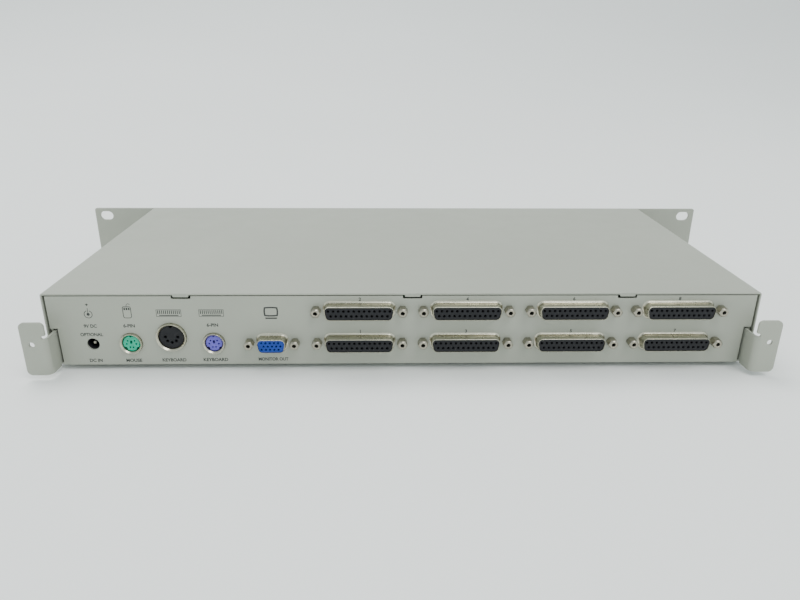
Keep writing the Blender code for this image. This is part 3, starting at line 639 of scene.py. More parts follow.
def make_cover():
    """Top and sides in one sheet, with three tabs that drop into the rear panel's notches."""
    half = COVER_HIGH.x
    ends = [(0, 0, -1), (0, 1, 0), (0, -1, 0)]
    cover = folded_box("case_cover", COVER_LOW, COVER_HIGH, ends, COVER_SHEET, "top_cover")
    centre = (COVER_LOW + COVER_HIGH) / 2

    def outside(face):
        away = face.normal.dot(face.calc_center_median() - centre) > 0
        return away and abs(face.normal.y) < 0.5 and face.normal.z > -0.5

    def rear_end(face):
        return face.normal.y > 0.5

    round_between(cover, COVER_BEND, outside, outside)
    round_between(cover, COVER_ROUND, outside, rear_end)
    tabs = bmesh.new()
    for x in TABS_X:
        top, bottom = COVER_HIGH.z - COVER_SHEET / 2, COVER_HIGH.z - COVER_SHEET - TAB_DROP
        shape = span(x - TAB_WIDTH / 2, bottom, x + TAB_WIDTH / 2, top)
        outline = rounded(shape, [0.4 * MM, 0.4 * MM, 0, 0], 4)
        bar(tabs, outline, COVER_HIGH.y - COVER_SHEET, COVER_HIGH.y)
    cut(cover, tabs, "UNION")
    sinks = bmesh.new()
    for name in COVER_SCREWS:
        place = middle(name)
        way = copysign(1, place.x)
        inner, outer = way * (half - COVER_SHEET - 0.1 * MM), way * (half + 0.1 * MM)
        wide = COVER_SCREW_HEAD_RADIUS + 0.3 * MM
        side_bar(sinks, 1.75 * MM, place.y, place.z, inner, outer, 32, wide)
    cut(cover, sinks)
    soften_edges(cover, 0.12 * MM)


def make_faceplate():
    """The rack faceplate: two ears with slots, eight button windows and sixteen light holes."""
    z = middle("rack_faceplate").z
    outline = rounded(outline_of("rack_faceplate"), 1.5 * MM)
    holes = []
    for x in (-RACK_SLOT_PITCH_X / 2, RACK_SLOT_PITCH_X / 2):
        for slot_z in (z - RACK_SLOT_PITCH_Z / 2, z + RACK_SLOT_PITCH_Z / 2):
            slot = rectangle(*RACK_SLOT_SIZE, x, slot_z)
            holes.append(rounded(slot, 0.499 * RACK_SLOT_SIZE[1], 10))
    for place in BUTTON_MIDDLES:
        size = [side + 2 * BUTTON_GAP for side in BUTTON_SIZE]
        holes.append(rounded(rectangle(*size, place.x, place.z), 0.8 * MM, 5))
        for way in (-1, 1):
            holes.append(circle(LIGHT_HOLE_RADIUS, place.x + way * LIGHT_OFFSET, LIGHT_Z, 32))
    walls = []
    edge = 0.25 * MM
    for shape in [outline, *holes]:
        into = edge if shape is outline else -edge
        steps = [(inset(shape, into), PLATE_LOW.y), (shape, PLATE_LOW.y + edge)]
        steps += [(shape, PLATE_HIGH.y - edge / 2), (inset(shape, into / 2), PLATE_HIGH.y)]
        walls.append(steps)
    work = bmesh.new()
    walled(work, walls)
    add_piece("case_faceplate", work, PAINT, "rack_faceplate")


def inset(outline, distance):
    """An outline moved inwards, or outwards for a distance below 0."""
    moved = []
    for index, point in enumerate(outline):
        here = Vector(point)
        before = (here - Vector(outline[index - 1])).normalized()
        after = (Vector(outline[(index + 1) % len(outline)]) - here).normalized()
        along = (before + after).normalized()
        lean = max(along.dot(after), 0.5)
        inward = Vector((-along.y, along.x))
        moved.append(tuple(here + inward * distance / lean))
    return moved


def bracket_blank():
    """The bracket before it is bent: length along the sheet from its inner end, and height.

    The tab's upper part reaches back past the bend, above a relief cut, and isn't bent.
    """
    top = BRACKET_HIGH.z - BASE
    step = BRACKET_INSIDE + 0.5 * MM
    bend_start = BRACKET_INSIDE + BRACKET_REACH - BRACKET_BEND
    bend_end = bend_start + BRACKET_BEND * pi / 2
    tab_start = bend_end - BRACKET_BEND
    tab_end = tab_start + BRACKET_HIGH.x - BRACKET_FACE
    inside_bottom = SHEET + 0.4 * MM
    relief = BRACKET_RELIEF_RADIUS
    relief_x, relief_z = tab_start + relief, BRACKET_FLANGE_TOP + relief
    corners = [(0, inside_bottom), (step, inside_bottom), (step, 0), (tab_end, 0)]
    corners += [(tab_end, top), (tab_start, top), (tab_start, relief_z + relief)]
    turns = [pi * (0.5 - number / 16) for number in range(17)]
    corners += [(relief_x + relief * cos(turn), relief_z + relief * sin(turn)) for turn in turns]
    corners.append((0, BRACKET_FLANGE_TOP))
    radii = [0, 0, 0, BRACKET_CORNER, BRACKET_CORNER, BRACKET_INNER_CORNER, relief / 2]
    radii += [0] * (len(corners) - len(radii))
    hole_x = tab_start + BRACKET_HOLE_X - BRACKET_FACE
    hole = circle(BRACKET_HOLE_RADIUS, hole_x, BRACKET_HOLE_Z, 32)
    return rounded(corners, radii, 8), hole, bend_start, bend_end


def split_at(work, axis, value):
    """Cuts the faces of a mesh along a plane across one axis, and keeps both sides."""
    geometry = work.verts[:] + work.edges[:] + work.faces[:]
    place, normal = Vector(), Vector()
    place[axis], normal[axis] = value, 1
    bmesh.ops.bisect_plane(work, geom=geometry, plane_co=place, plane_no=normal, dist=0.001 * MM)


def fold(along, z, bend_start, bend_end):
    """Where a point of the blank stands once it is bent, in x and y from the bracket's face."""
    flat = Vector((BRACKET_BEND + along - bend_end, BRACKET_REACH))
    if along >= bend_end:
        return flat
    if along <= bend_start:
        return Vector((0, along - BRACKET_INSIDE))
    turn = (along - bend_start) / BRACKET_BEND
    inward, back = BRACKET_BEND * (1 - cos(turn)), BRACKET_BEND * (1 - sin(turn))
    above = (z - BRACKET_FLANGE_TOP) / (2 * BRACKET_RELIEF_RADIUS)
    return Vector((inward, BRACKET_REACH - back)).lerp(flat, min(max(above, 0), 1))


def make_brackets():
    """A bracket at each rear corner, bent outwards into a tab with a hole."""
    outline, hole, bend_start, bend_end = bracket_blank()
    for side, way in (("left", -1), ("right", 1)):
        work = bmesh.new()
        loops = [[work.verts.new((along, 0, z)) for along, z in loop] for loop in (outline, hole)]
        fill(work, loops)
        for number in range(13):
            split_at(work, 0, bend_start + (bend_end - bend_start) * number / 12)
        for number in range(7):
            split_at(work, 2, BRACKET_FLANGE_TOP + 2 * BRACKET_RELIEF_RADIUS * number / 6)
        for vert in work.verts:
            x, y = fold(vert.co.x, vert.co.z, bend_start, bend_end)
            vert.co = (way * (BRACKET_FACE + x), REAR + y, BASE + vert.co.z)
        work.normal_update()
        tab_face = max(work.faces, key=lambda face: abs(face.calc_center_median().x))
        if tab_face.normal.y < 0:
            bmesh.ops.reverse_faces(work, faces=work.faces)
        name = f"rear_bracket_{side}"
        bracket = add_piece(f"bracket_{side}", work, PAINT, name, closed=False)
        thicken(bracket, SHEET)
        settle(bracket)
        smooth(bracket)
        soften_edges(bracket, 0.15 * MM)


# --- connectors

HOLE_SIDES = 16


def d_shell(name, node, collars, screws):
    """A drawn shell on its flange, with a rolled rim round each D-shaped mouth."""
    front_y, back_y = INSIDE_REAR, INSIDE_REAR - FLANGE_THICKNESS
    flange = rounded(outline_of(node), MM, 4)
    walls = [[(flange, front_y), (flange, back_y)]]
    rim = 0.3 * MM
    for width, x, z in collars:
        flare = D_FLARE - 0.1 * MM
        profile = [(D_FLARE, front_y)]
        profile += arc(D_FLARE, REAR - 0.15 * MM + flare, flare, 270, 180, 6)
        profile += [(0, REAR + 3 * MM), (0, REAR + D_PROUD - rim)]
        profile += arc(-rim, REAR + D_PROUD - rim, rim, 0, 90, 5)[1:]
        profile += [(-D_WALL, REAR + D_PROUD - 0.08 * MM), (-D_WALL, back_y)]
        walls.append([(d_outline(width, x, z, grow), y) for grow, y in profile])
    for x, z in screws:
        hole = circle(1.7 * MM, x, z, 24)
        walls.append([(hole, front_y), (hole, back_y)])
    work = bmesh.new()
    walled(work, walls)
    add_piece(name, work, PLATED, node)


def contact_hole(x, z, face, radius, mouth, depth):
    """A contact's hole: a short lead-in, then a straight bore."""
    return [
        (circle(mouth, x, z, HOLE_SIDES), face),
        (circle(radius, x, z, HOLE_SIDES), face - 0.3 * MM),
        (circle(radius, x, z, HOLE_SIDES), face - depth),
    ]


def port_contact_places(x, z):
    """Thirteen contacts above twelve, 2.77 mm apart, in rows 2.84 mm apart."""
    pitch, rise = 2.77 * MM, 1.42 * MM
    upper = [(x + (number - 6) * pitch, z + rise) for number in range(13)]
    return upper + [(x + (number - 5.5) * pitch, z - rise) for number in range(12)]


def monitor_contact_places(x, z):
    """Three rows of five, 2.29 mm apart, the middle row shifted by half a step."""
    pitch, rise = 2.29 * MM, 1.98 * MM
    rows = ((rise, pitch / 4), (0, -pitch / 4), (-rise, pitch / 4))
    return [(x + shift + (n - 2) * pitch, z + lift) for lift, shift in rows for n in range(5)]


def d_insert(name, node, noses, look):
    """The moulded block behind a shell: a nose in each collar, drilled for its contacts."""
    face, edge = REAR + D_PROUD - 0.3 * MM, 0.15 * MM
    raised = []
    for width, x, z, places, radius, mouth in noses:
        gap = D_WALL + 0.05 * MM
        steps = [(gap, HOUSING_FACE), (gap, face - edge)]
        steps += [(gap + edge / 3, face - edge / 3), (gap + edge, face)]
        shape = [(d_outline(width, x, z, -shrink), y) for shrink, y in steps]
        holes = [contact_hole(at_x, at_z, face, radius, mouth, 4 * MM) for at_x, at_z in places]
        raised.append((shape, holes))
    work = bmesh.new()
    block(work, outline_of(node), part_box(node)[0].y, HOUSING_FACE, raised)
    add_piece(name, work, look, node)


def contacts(name, places, radius, front, look):
    """The sprung tubes at the bottom of the contact holes."""
    work = bmesh.new()
    wall, depth = 0.13 * MM, 1.5 * MM
    for x, z in places:
        profile = [(radius, front - depth), (radius, front - 0.06 * MM), (radius - 0.06 * MM, front)]
        profile += [(radius - wall, front), (radius - wall, front - depth)]
        turned(work, profile, (x, 0, z), 12)
    add_piece(name, work, look)


def make_ports():
    for pair, x in port_columns():
        numbers = f"{pair[0]}_{pair[1]}"
        collars = [(PORT_WIDTH, x, PORT_Z[number]) for number in pair]
        screws = [
            (middle(f"port_{number}_jackscrew_{side}").x, PORT_Z[number])
            for number in pair
            for side in SIDES
        ]
        d_shell(f"port_shell_{numbers}", f"port_shield_{numbers}", collars, screws)
        rows = [port_contact_places(x, PORT_Z[number]) for number in pair]
        noses = [(*collar, places, 0.6 * MM, 0.8 * MM) for collar, places in zip(collars, rows)]
        d_insert(f"port_insert_{numbers}", f"port_housing_{numbers}", noses, BLACK)
        contacts(f"port_contacts_{numbers}", sum(rows, []), 0.58 * MM, REAR + 2.7 * MM, GOLD)


def make_monitor_port():
    collar = (MONITOR_WIDTH, MONITOR_X, MONITOR_Z)
    screws = [(middle(f"monitor_jackscrew_{side}").x, MONITOR_Z) for side in SIDES]
    d_shell("monitor_shell", "monitor_port_shell", [collar], screws)
    places = monitor_contact_places(MONITOR_X, MONITOR_Z)
    nose = (*collar, places, 0.5 * MM, 0.66 * MM)
    d_insert("monitor_insert", "monitor_port_insert", [nose], BLUE)
    contacts("monitor_contacts", places, 0.48 * MM, REAR + 2.7 * MM, GOLD)


def make_jackscrews():
    """Hexagonal jackscrews with a turned chamfer and a threaded hole, painted dark inside as shade."""
    per_side, slope, stud_radius = 4, tan(radians(40)), 1.4 * MM
    mouth, bore, crest, pitch = 1.2 * MM, 1.06 * MM, 0.92 * MM, 0.6 * MM
    for name in JACKSCREWS:
        low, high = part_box(name)
        centre = middle(name)
        flat = (high.z - low.z) / 2
        seat, front, chamfer = REAR + 0.2 * MM, high.y, 0.82 * flat
        turns = [pi / 3 * side for side in range(7)]
        corners = [Vector((cos(turn), sin(turn))) * flat / cos(pi / 6) for turn in turns]
        outline = []
        for first, last in zip(corners, corners[1:]):
            outline += [first.lerp(last, step / per_side) for step in range(per_side)]
        work = bmesh.new()

        def place(points, y):
            return ring(work, [(centre.x + p.x, centre.z + p.y) for p in points], y)

        def round_ring(radius, y):
            return place([point.normalized() * radius for point in outline], y)

        rings = [place(outline, seat), place(outline, front), round_ring(chamfer, front)]
        for vert, point in zip(rings[1], outline):
            vert.co.y -= (point.length - chamfer) * slope
        rings += [round_ring(mouth, front), round_ring(bore, front - 0.14 * MM)]
        for turn in range(5):
            y = front - 0.3 * MM - turn * pitch
            rings += [round_ring(crest, y - pitch / 2), round_ring(bore, y - pitch)]
        stud = [round_ring(stud_radius, seat), round_ring(stud_radius, low.y)]
        skin(work, rings)
        skin(work, stud)
        for loops in ([rings[-1]], [stud[1]], [rings[0], stud[0]]):
            fill(work, loops)
        # The faces inside the threaded hole take the darker steel: painted shade deep in the hole.
        looks = [SCREW_METAL, PAINTED_BORE_SHADE]
        screw = add_piece(f"{name}_hex", work, looks, name)
        smooth(screw, 28)
        for face in screw.data.polygons:
            inside = hypot(face.center.x - centre.x, face.center.z - centre.z) < mouth
            if inside and seat < face.center.y < front - 0.1 * MM:
                face.material_index = 1


def round_socket(name, look, size, notches, places, key=()):
    """A plated ring round a keyed insert that is drilled for its contacts, with sizes in mm."""
    x, z = middle(f"{name}_shell").xz
    outer, bore, cone, back = size["outer"], size["bore"], size["cone"], -6
    profile = [(outer, back), (outer, 0.3), *arc(*size["lip"], 0, 135, 8)]
    profile += [(bore + 0.1, cone), (bore, cone - 0.15), (bore, back)]
    ring_mesh = bmesh.new()
    turned(ring_mesh, [(radius * MM, REAR + y * MM) for radius, y in profile], (x, 0, z), 72)
    add_piece(f"{name}_ring", ring_mesh, PLATED, f"{name}_shell")
    radius, edge = size["nose"] * MM, size["edge"] * MM
    base, face = REAR - 6.3 * MM, REAR + size["face"] * MM
    steps = [(radius, base), (radius, face - edge), (radius - edge, face)]
    nose = [(notched_disc(reach, x, z, notches), y) for reach, y in steps]
    spots = [(x + across * MM, z + up * MM) for across, up in places]
    hole, mouth = [value * MM for value in size["hole"]]
    holes = [contact_hole(*spot, face, hole, mouth, 4 * MM) for spot in spots]
    for keyway in key:
        outline = rounded([(x + across * MM, z + up * MM) for across, up in keyway], 0.15 * MM, 2)
        holes.append([(outline, face), (outline, face - 4 * MM)])
    node = f"{name}_insert"
    work = bmesh.new()
    block(work, outline_of(node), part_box(node)[0].y, base, [(nose, holes)])
    add_piece(f"{name}_block", work, look, node)
    tube, front, metal = size["tube"]
    contacts(f"{name}_contacts", spots, tube * MM, REAR + front * MM, metal)


def make_round_sockets():
    """Two six-contact sockets with a square key, and a large one with five contacts in an arc."""
    small = {
        "outer": 6.0, "lip": (5.75, 1.75, 0.15), "bore": 4.85, "cone": 1.15, "nose": 4.45,
        "face": 0.5, "edge": 0.15, "hole": (0.42, 0.55), "tube": (0.4, -3.0, GOLD),
    }
    large = {
        "outer": 8.2, "lip": (7.9, 1.75, 0.18), "bore": 6.95, "cone": 1.1, "nose": 6.7,
        "face": 0.3, "edge": 0.2, "hole": (0.75, 0.95), "tube": (0.72, -4.0, PLATED),
    }
    notches = [(radians(angle), 1.5 * MM, 0.75 * MM) for angle in (90, 222, 318)]
    pairs = ((1.85, 1.5), (2.6, -0.35), (0.85, -2.35))
    places = [(way * across, up) for across, up in pairs for way in (-1, 1)]
    key = [rectangle(1.2, 1.9, 0, 0.75)]
    round_socket("mouse_socket", GREEN, small, notches, places, key)
    round_socket("keyboard_socket", PURPLE, small, notches, places, key)
    reach, notches = 3.35, [(radians(90), 2.2 * MM, 1.2 * MM)]
    turns = [radians(angle) for angle in (180, 225, 270, 315, 360)]
    places = [(reach * cos(turn), reach * sin(turn)) for turn in turns]
    round_socket("din_socket", BLACK, large, notches, places)


def power_socket():
    """The power jack: a moulded barrel behind its hole, with a rounded pin."""
    low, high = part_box("power_jack")
    x, z = middle("power_jack").x, POWER_Z
    floor = high.y - 9.5 * MM
    steps = ((3.3, high.y), (3.1, high.y - 0.3 * MM), (3.1, floor))
    mouth = [(circle(radius * MM, x, z, 48), y) for radius, y in steps]
    work = bmesh.new()
    block(work, outline_of("power_jack"), low.y, high.y, sunk=[mouth])
    add_piece("power_jack_body", work, BLACK, "power_jack")
    pin = bmesh.new()
    tip = high.y - 0.6 * MM
    profile = [(0, floor + 0.02 * MM), (MM, floor + 0.02 * MM), (MM, tip - 0.6 * MM)]
    profile += arc(0.4 * MM, tip - 0.6 * MM, 0.6 * MM, 0, 90)[1:] + [(0, tip)]
    turned(pin, profile, (x, 0, z), 32)
    add_piece("power_jack_pin", pin, SCREW_METAL)


# --- front and fixings


def make_buttons():
    """Push buttons with a dished cap, a flange that keeps each one in, and a stem."""
    for number in range(1, BUTTONS + 1):
        node = f"port_button_{number}"
        low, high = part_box(node)
        x, z = middle(node).x, middle(node).z
        face = low.y
        width, height = BUTTON_SIZE
        work = bmesh.new()

        def outline(wide, tall, corner):
            return rounded(rectangle(wide, tall, x, z), corner, 5)

        dish, edge, corner = 0.35 * MM, 0.5 * MM, 0.8 * MM
        steps = []
        for share in (0.15, 0.35, 0.55, 0.75, 0.92):
            deep = dish * (1 - share**2 / 0.92**2)
            wide, tall = (width - 2 * edge) * share, (height - 2 * edge) * share
            steps.append((outline(wide, tall, corner * share), face + deep))
        for turn in (0, 30, 60, 90):
            angle = radians(turn)
            inward = edge * (1 - sin(angle))
            wide, tall = width - 2 * inward, height - 2 * inward
            steps.append((outline(wide, tall, corner), face + edge * (1 - cos(angle))))
        flange, lip = PLATE_HIGH.y + TOUCH, 1.2 * MM
        skirt = outline(width + 2 * lip, height + 2 * lip, corner)
        stem = outline(3 * MM, 3 * MM, 0.3 * MM)
        steps += [(outline(width, height, corner), flange), (skirt, flange), (skirt, flange + lip)]
        steps += [(stem, flange + lip), (stem, high.y)]
        walled(work, [steps])
        add_piece(f"button_cap_{number}", work, KEYCAP, node, f"button_{number}")


def make_lights():
    """Two lenses above each button on one clear bar: green on the left, red on the right."""
    low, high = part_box("light_bar")
    bar_front = PLATE_HIGH.y + 2 * MM
    work = bmesh.new()
    raised = []
    radius = 1.5 * MM
    for place in BUTTON_MIDDLES:
        for way in (-1, 1):
            x = place.x + way * LIGHT_OFFSET
            steps = [(circle(radius, x, LIGHT_Z, 24), bar_front)]
            for turn in (0, 25, 50, 75, 85):
                angle = radians(turn)
                reach = low.y + 0.7 * MM * (1 - sin(angle))
                steps.append((circle(radius * cos(angle), x, LIGHT_Z, 24), reach))
            raised.append((steps, []))
    block(work, outline_of("light_bar"), high.y, bar_front, raised)
    looks = [LENS_CLEAR, LENS_GREEN, LENS_RED]
    lights = add_piece("light_lenses", work, looks, "light_bar")
    for face in lights.data.polygons:
        if face.center.y > PLATE_HIGH.y:
            continue
        nearest = min(BUTTON_MIDDLES, key=lambda place: abs(place.x - face.center.x))
        face.material_index = 1 if face.center.x < nearest.x else 2


def make_cover_screws():
    """Countersunk screws with a cross recess, two on each side of the cover."""
    for name in COVER_SCREWS:
        low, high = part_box(name)
        place = middle(name)
        way = copysign(1, place.x)
        head, tip = (high.x, low.x) if way > 0 else (low.x, high.x)
        under = head - way * COVER_SHEET
        work = bmesh.new()
        arm, wide = 1.5 * MM, 0.42 * MM
        cross, quarter = [], [(arm, -wide), (arm, wide), (wide, wide)]
        for _ in range(4):
            cross += quarter
            quarter = [(-z, y) for y, z in quarter]

        def across(points, x, share=1.0):
            return [work.verts.new((x, place.y + y * share, place.z + z * share)) for y, z in points]

        head_ring = circle(COVER_SCREW_HEAD_RADIUS, 0, 0, 36)
        neck, shaft = circle(1.45 * MM, 0, 0, 36), circle(1.42 * MM, 0, 0, 36)
        rings = [across(head_ring, head), across(head_ring, head - way * 0.12 * MM)]
        rings += [across(neck, under), across(shaft, under - way * 0.3 * MM)]
        rings += [across(shaft, tip + way * 0.5 * MM), across(shaft, tip, 0.7)]
        skin(work, rings)
        mouth = [across(cross, head), across(cross, head - way * 0.9 * MM, 0.45)]
        skin(work, mouth)
        for loops in ([mouth[1]], [rings[0], mouth[0]], [rings[-1]]):
            fill(work, loops)
        add_piece(f"{name}_cross", work, SCREW_METAL, name)


def make_feet():
    """Round rubber feet with a moulded hollow underneath."""
    for name in FEET:
        low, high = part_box(name)
        place = middle(name)
        radius = (high.x - low.x) / 2
        edge = 0.7 * MM
        work = bmesh.new()
        profile = [(0, low.z + 0.9 * MM), (2.2 * MM, low.z + 0.9 * MM), (2.6 * MM, low.z + 0.15 * MM)]
        profile += [(2.8 * MM, low.z), (radius - edge, low.z)]
        profile += arc(radius - edge, low.z + edge, edge, -90, 0)[1:]
        profile += [(radius, high.z - 0.2 * MM), (radius - 0.2 * MM, high.z), (0, high.z)]
        turned(work, profile, (place.x, place.y, 0), 48, "Z")
        add_piece(f"{name}_pad", work, RUBBER, name)


def dress_boards():
    """The boards and their cable are hidden inside, and keep their own shapes."""
    for name, look in (("main_board", BOARD), ("front_board", BOARD), ("ribbon_cable", RIBBON)):
        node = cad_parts[name]
        node.data.materials.clear()
        node.data.materials.append(look)


# --- printing

# Sizes in the functions that print are in mm, and these two as well.
INK_THICKNESS = 0.02
LETTER_HEIGHT = 1.85
# These two are shares of the letters' own size.
LETTER_WEIGHT = 0.03
CAPITAL_HEIGHT = 0.69


class Print:
    """Ink on one flat face: everything printed there, as one thin mesh.

    Heights start from the tray's underside. Way is the direction along x of the print's
    right-hand side.
    """

    def __init__(self, y, way):
        self.work = bmesh.new()
        self.y = y
        self.way = way

    def place(self, x, z, lift):
        return (x * MM, self.y - self.way * lift * MM, BASE + z * MM)

    def shape(self, outlines):
        """A flat inked shape: an outline, and the holes in it."""
        low = [[self.work.verts.new(self.place(x, z, 0)) for x, z in o] for o in outlines]
        high = [[self.work.verts.new(self.place(x, z, INK_THICKNESS)) for x, z in o] for o in outlines]
        for under, over in zip(low, high):
            skin(self.work, [under, over])
        fill(self.work, low)
        fill(self.work, high)

    def line(self, points, width):
        """A stroke along some points, square at its ends."""
        left, right = [], []
        for index, point in enumerate(points):
            here = Vector(point)
            before = here - Vector(points[index - 1]) if index else Vector((0, 0))
            last = index == len(points) - 1
            after = Vector(points[index + 1]) - here if not last else Vector((0, 0))
            along = (before.normalized() + after.normalized()).normalized()
            aside = Vector((-along.y, along.x)) * width / 2
            left.append(tuple(here + aside))
            right.append(tuple(here - aside))
        self.shape([left + right[::-1]])

    def outline(self, points, width):
        """A closed stroke of even width along an outline that runs anticlockwise."""
        self.shape([inset(points, -width / 2), inset(points, width / 2)])

    def text(self, words, x, z, width=None, height=LETTER_HEIGHT):
        """Letters in the plain built-in face, centred on a point and scaled to a width."""
        curve = bpy.data.curves.new("letters", "FONT")
        curve.body = words
        curve.resolution_u = 4
        curve.offset = LETTER_WEIGHT
        curve.extrude = 0.5
        letters = bpy.data.objects.new("letters", curve)
        mesh = bpy.data.meshes.new_from_object(letters)
        bpy.data.objects.remove(letters)
        solid = bmesh.new()
        solid.from_mesh(mesh)
        bmesh.ops.remove_doubles(solid, verts=solid.verts, dist=0.0001)
        xs = [vert.co.x for vert in solid.verts]
        tall = height / CAPITAL_HEIGHT
        wide = width / (max(xs) - min(xs)) if width else tall
        for vert in solid.verts:
            across = self.way * (vert.co.x - (max(xs) + min(xs)) / 2) * wide
            up = (vert.co.y - CAPITAL_HEIGHT / 2) * tall
            vert.co = self.place(x + across, z + up, (vert.co.z + 0.5) * INK_THICKNESS)
        solid.to_mesh(mesh)
        solid.free()
        self.work.from_mesh(mesh)

    def finish(self, name):
        add_piece(name, self.work, INK)


def monitor_icon(ink, x, z):
    """A picture tube's bulging face over a short line."""
    wide, tall, bulge = 6.6, 4.4, 0.25
    points = []
    for index, (px, pz) in enumerate(rectangle(wide, tall, x, z)):
        nx, nz = rectangle(wide, tall, x, z)[(index + 1) % 4]
        out = Vector((nz - pz, px - nx)).normalized()
        for step in range(8):
            share = step / 8
            lift = bulge * 4 * share * (1 - share)
            points.append((px + (nx - px) * share + out.x * lift, pz + (nz - pz) * share + out.y * lift))
    ink.outline(points, 0.85)
    ink.line([(x - 3.2, z - 3.85), (x + 3.2, z - 3.85)], 0.8)


def mouse_icon(ink, x, z):
    """A mouse seen from above: body, three buttons and the start of its lead."""
    wide, tall = 4.3, 6.5
    body = rounded(rectangle(wide, tall, x, z), [1.0, 1.0, 0.7, 0.7], 5)
    ink.outline(body, 0.38)
    for number in (-1, 0, 1):
        key = rectangle(0.85, 1.3, x + number * 1.2, z + 2.0)
        ink.shape([key])
    turns = [radians(25 * step) for step in range(7)]
    lead = [(x - 1.0 + cos(turn), z + tall / 2 + 0.3 + 1.5 * sin(turn)) for turn in turns]
    ink.line(lead, 0.28)


def keyboard_icon(ink, x, z):
    """A keyboard: a thin frame, a row of long keys and a space bar."""
    wide, tall, keys = 13.2, 3.9, 12
    ink.outline(rectangle(wide, tall, x, z), 0.25)
    for number in range(keys):
        at = x + (number - (keys - 1) / 2) * wide / (keys + 0.6)
        ink.shape([rectangle(0.5, 2.1, at, z + 0.55)])
    ink.shape([rectangle(10.4, 0.5, x, z - 1.3)])


def polarity_icon(ink, x, z):
    """Centre contact positive: a dot in a broken ring, a lead and the plus above."""
    ink.shape([circle(0.85, x, z, 24)])
    gap = radians(35)
    outer, inner = 2.3, 1.95
    turns = [pi / 2 + gap / 2 + (2 * pi - gap) * step / 40 for step in range(41)]
    rim = [(x + outer * cos(t), z + outer * sin(t)) for t in turns]
    bore = [(x + inner * cos(t), z + inner * sin(t)) for t in reversed(turns)]
    ink.shape([rim + bore])
    ink.line([(x, z + 0.8), (x, z + 3.6)], 0.3)
    ink.line([(x - 0.75, z + 5.6), (x + 0.75, z + 5.6)], 0.45)
    ink.line([(x, z + 4.9), (x, z + 6.3)], 0.45)


def print_rear():
    """The words and symbols over and under each socket, and the port numbers."""
    ink = Print(REAR, -1)
    nodes = ("mouse_socket_shell", "keyboard_socket_shell", "din_socket_shell", "power_jack")
    mouse, keyboard, din, power = [middle(node).x / MM for node in nodes]
    monitor = MONITOR_X / MM
    for icon, x, z in (
        (polarity_icon, power, 30.5),
        (mouse_icon, mouse, 31.6),
        (keyboard_icon, din, 31.1),
        (keyboard_icon, keyboard, 31.1),
        (monitor_icon, monitor - 0.2, 31.8),
    ):
        icon(ink, x, z)
    for words, x, z, width in (
        ("9V DC", power, 23.6, 7.0),
        ("OPTIONAL", power, 18.55, 12.2),
        ("DC IN", power, 2.85, 7.0),
        ("6-PIN", mouse, 23.7, 6.2),
        ("MOUSE", mouse, 2.8, 8.7),
        ("KEYBOARD", din, 2.95, 13.2),
        ("6-PIN", keyboard, 24.0, 6.2),
        ("KEYBOARD", keyboard, 3.05, 13.6),
        ("MONITOR OUT", monitor, 3.25, 16.6),
    ):
        ink.text(words, x, z, width)
    for pair, x in port_columns():
        for number in pair:
            ink.text(str(number), x / MM - 0.4, (PORT_Z[number] - BASE) / MM + 6.3)
    ink.finish("rear_printing")


def print_front():
    ink = Print(PLATE_LOW.y, 1)
    for number, place in enumerate(BUTTON_MIDDLES):
        ink.text(str(number + 1), place.x / MM, (LIGHT_Z - BASE) / MM + 4.6, height=2.4)
    ink.finish("front_printing")


# --- floor, light and camera

CAMERA_OFFSET = Vector((12.5, 337.6, 171.5)) * MM
CAMERA_YAW = radians(178.4)
CAMERA_PITCH = radians(21.5)
CAMERA_ROLL = radians(0.47)
CAMERA_LENS = 30.14


def make_floor():
    """A pale floor that curves up far behind the object, to fill the photo's own view."""
    radius, start, half, steps = 6.0, 0.8, 9, 24
    turns = [radians(35) * step / steps for step in range(steps + 1)]
    sweep = [(8.0, 0.0)]
    sweep += [(-start - radius * sin(turn), radius * (1 - cos(turn))) for turn in turns]
    work = bmesh.new()
    rows = [[work.verts.new((x, y, z)) for x in (-half, half)] for y, z in sweep]
    for near, far in zip(rows, rows[1:]):
        work.faces.new((*near, *reversed(far)))
    floor = stand("floor", work, closed=False)
    smooth(floor)
    look = Look("floor_pale", (0.86, 0.87, 0.85), 0.8)
    look.colour(look.cloud(1.5, 3), (0.85, 0.86, 0.84), (0.87, 0.88, 0.86))
    look.bump(look.noise(600), 0.00002, 0.3)
    floor.data.materials.append(look.material)


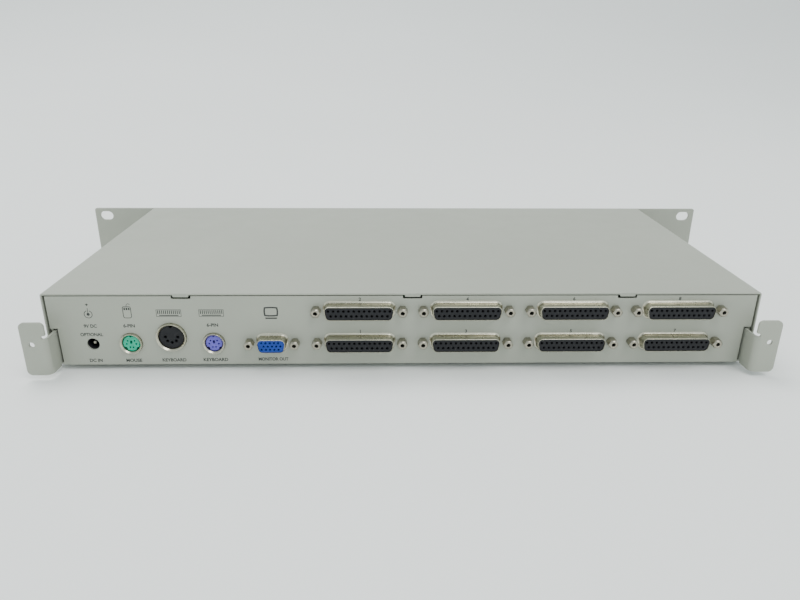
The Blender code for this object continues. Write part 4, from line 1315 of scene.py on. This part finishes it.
def light_room():
    """A pale room with one dim corner and one bright wall, and two lamps overhead."""
    world = bpy.data.worlds.new("studio")
    bpy.context.scene.world = world
    world.use_nodes = True
    room = Nodes(world.node_tree, "Generated")
    strength = 1.0
    for toward, start, end, low, high in (
        ((0, 0, 1), 0.05, 0.7, 1.4, 0.8),
        ((-0.7, -0.7, 0), 0.7, 0.97, 1.0, 0.6),
        ((-0.5, 0.87, 0), 0.0, 0.9, 1.0, 1.15),
    ):
        along = room.node("ShaderNodeVectorMath")
        along.operation = "DOT_PRODUCT"
        room.put(along.inputs[0], room.place)
        room.put(along.inputs[1], toward)
        ramp = room.between(along.outputs["Value"], low, high, start, end)
        strength = room.combine("MULTIPLY", strength, ramp)
    background = world.node_tree.nodes["Background"].inputs
    room.put(background["Color"], (0.88, 0.98, 1.0, 1))
    room.put(background["Strength"], strength)
    lamp("soft_key", (1.1, -1.0, 3.0), 88, 2.2)
    lamp("soft_side", (-0.7, 1.1, 2.1), 26, 1.2)


def lamp(name, place, power, size):
    """A square lamp that shines on the middle of the object."""
    data = bpy.data.lights.new(name, "AREA")
    data.energy = power
    data.size = size
    light = bpy.data.objects.new(name, data)
    bpy.context.scene.collection.objects.link(light)
    light.location = place
    light.rotation_euler = (-Vector(place)).to_track_quat("-Z", "Y").to_euler()


def make_camera():
    data = bpy.data.cameras.new("camera")
    data.lens = CAMERA_LENS
    data.sensor_width = 36
    data.clip_start = 0.01
    camera = bpy.data.objects.new("camera", data)
    bpy.context.scene.collection.objects.link(camera)
    place = Matrix.Translation(Vector((0, REAR, BASE)) + CAMERA_OFFSET)
    turn = Matrix.Rotation(CAMERA_YAW, 4, "Z") @ Matrix.Rotation(pi / 2 - CAMERA_PITCH, 4, "X")
    camera.matrix_world = place @ turn @ Matrix.Rotation(CAMERA_ROLL, 4, "Z")
    bpy.context.scene.camera = camera


make_tray()
make_cover()
make_faceplate()
make_brackets()
make_ports()
make_monitor_port()
make_jackscrews()
make_round_sockets()
power_socket()
make_buttons()
make_lights()
make_cover_screws()
make_feet()
dress_boards()
print_rear()
print_front()
make_floor()
light_room()
make_camera()
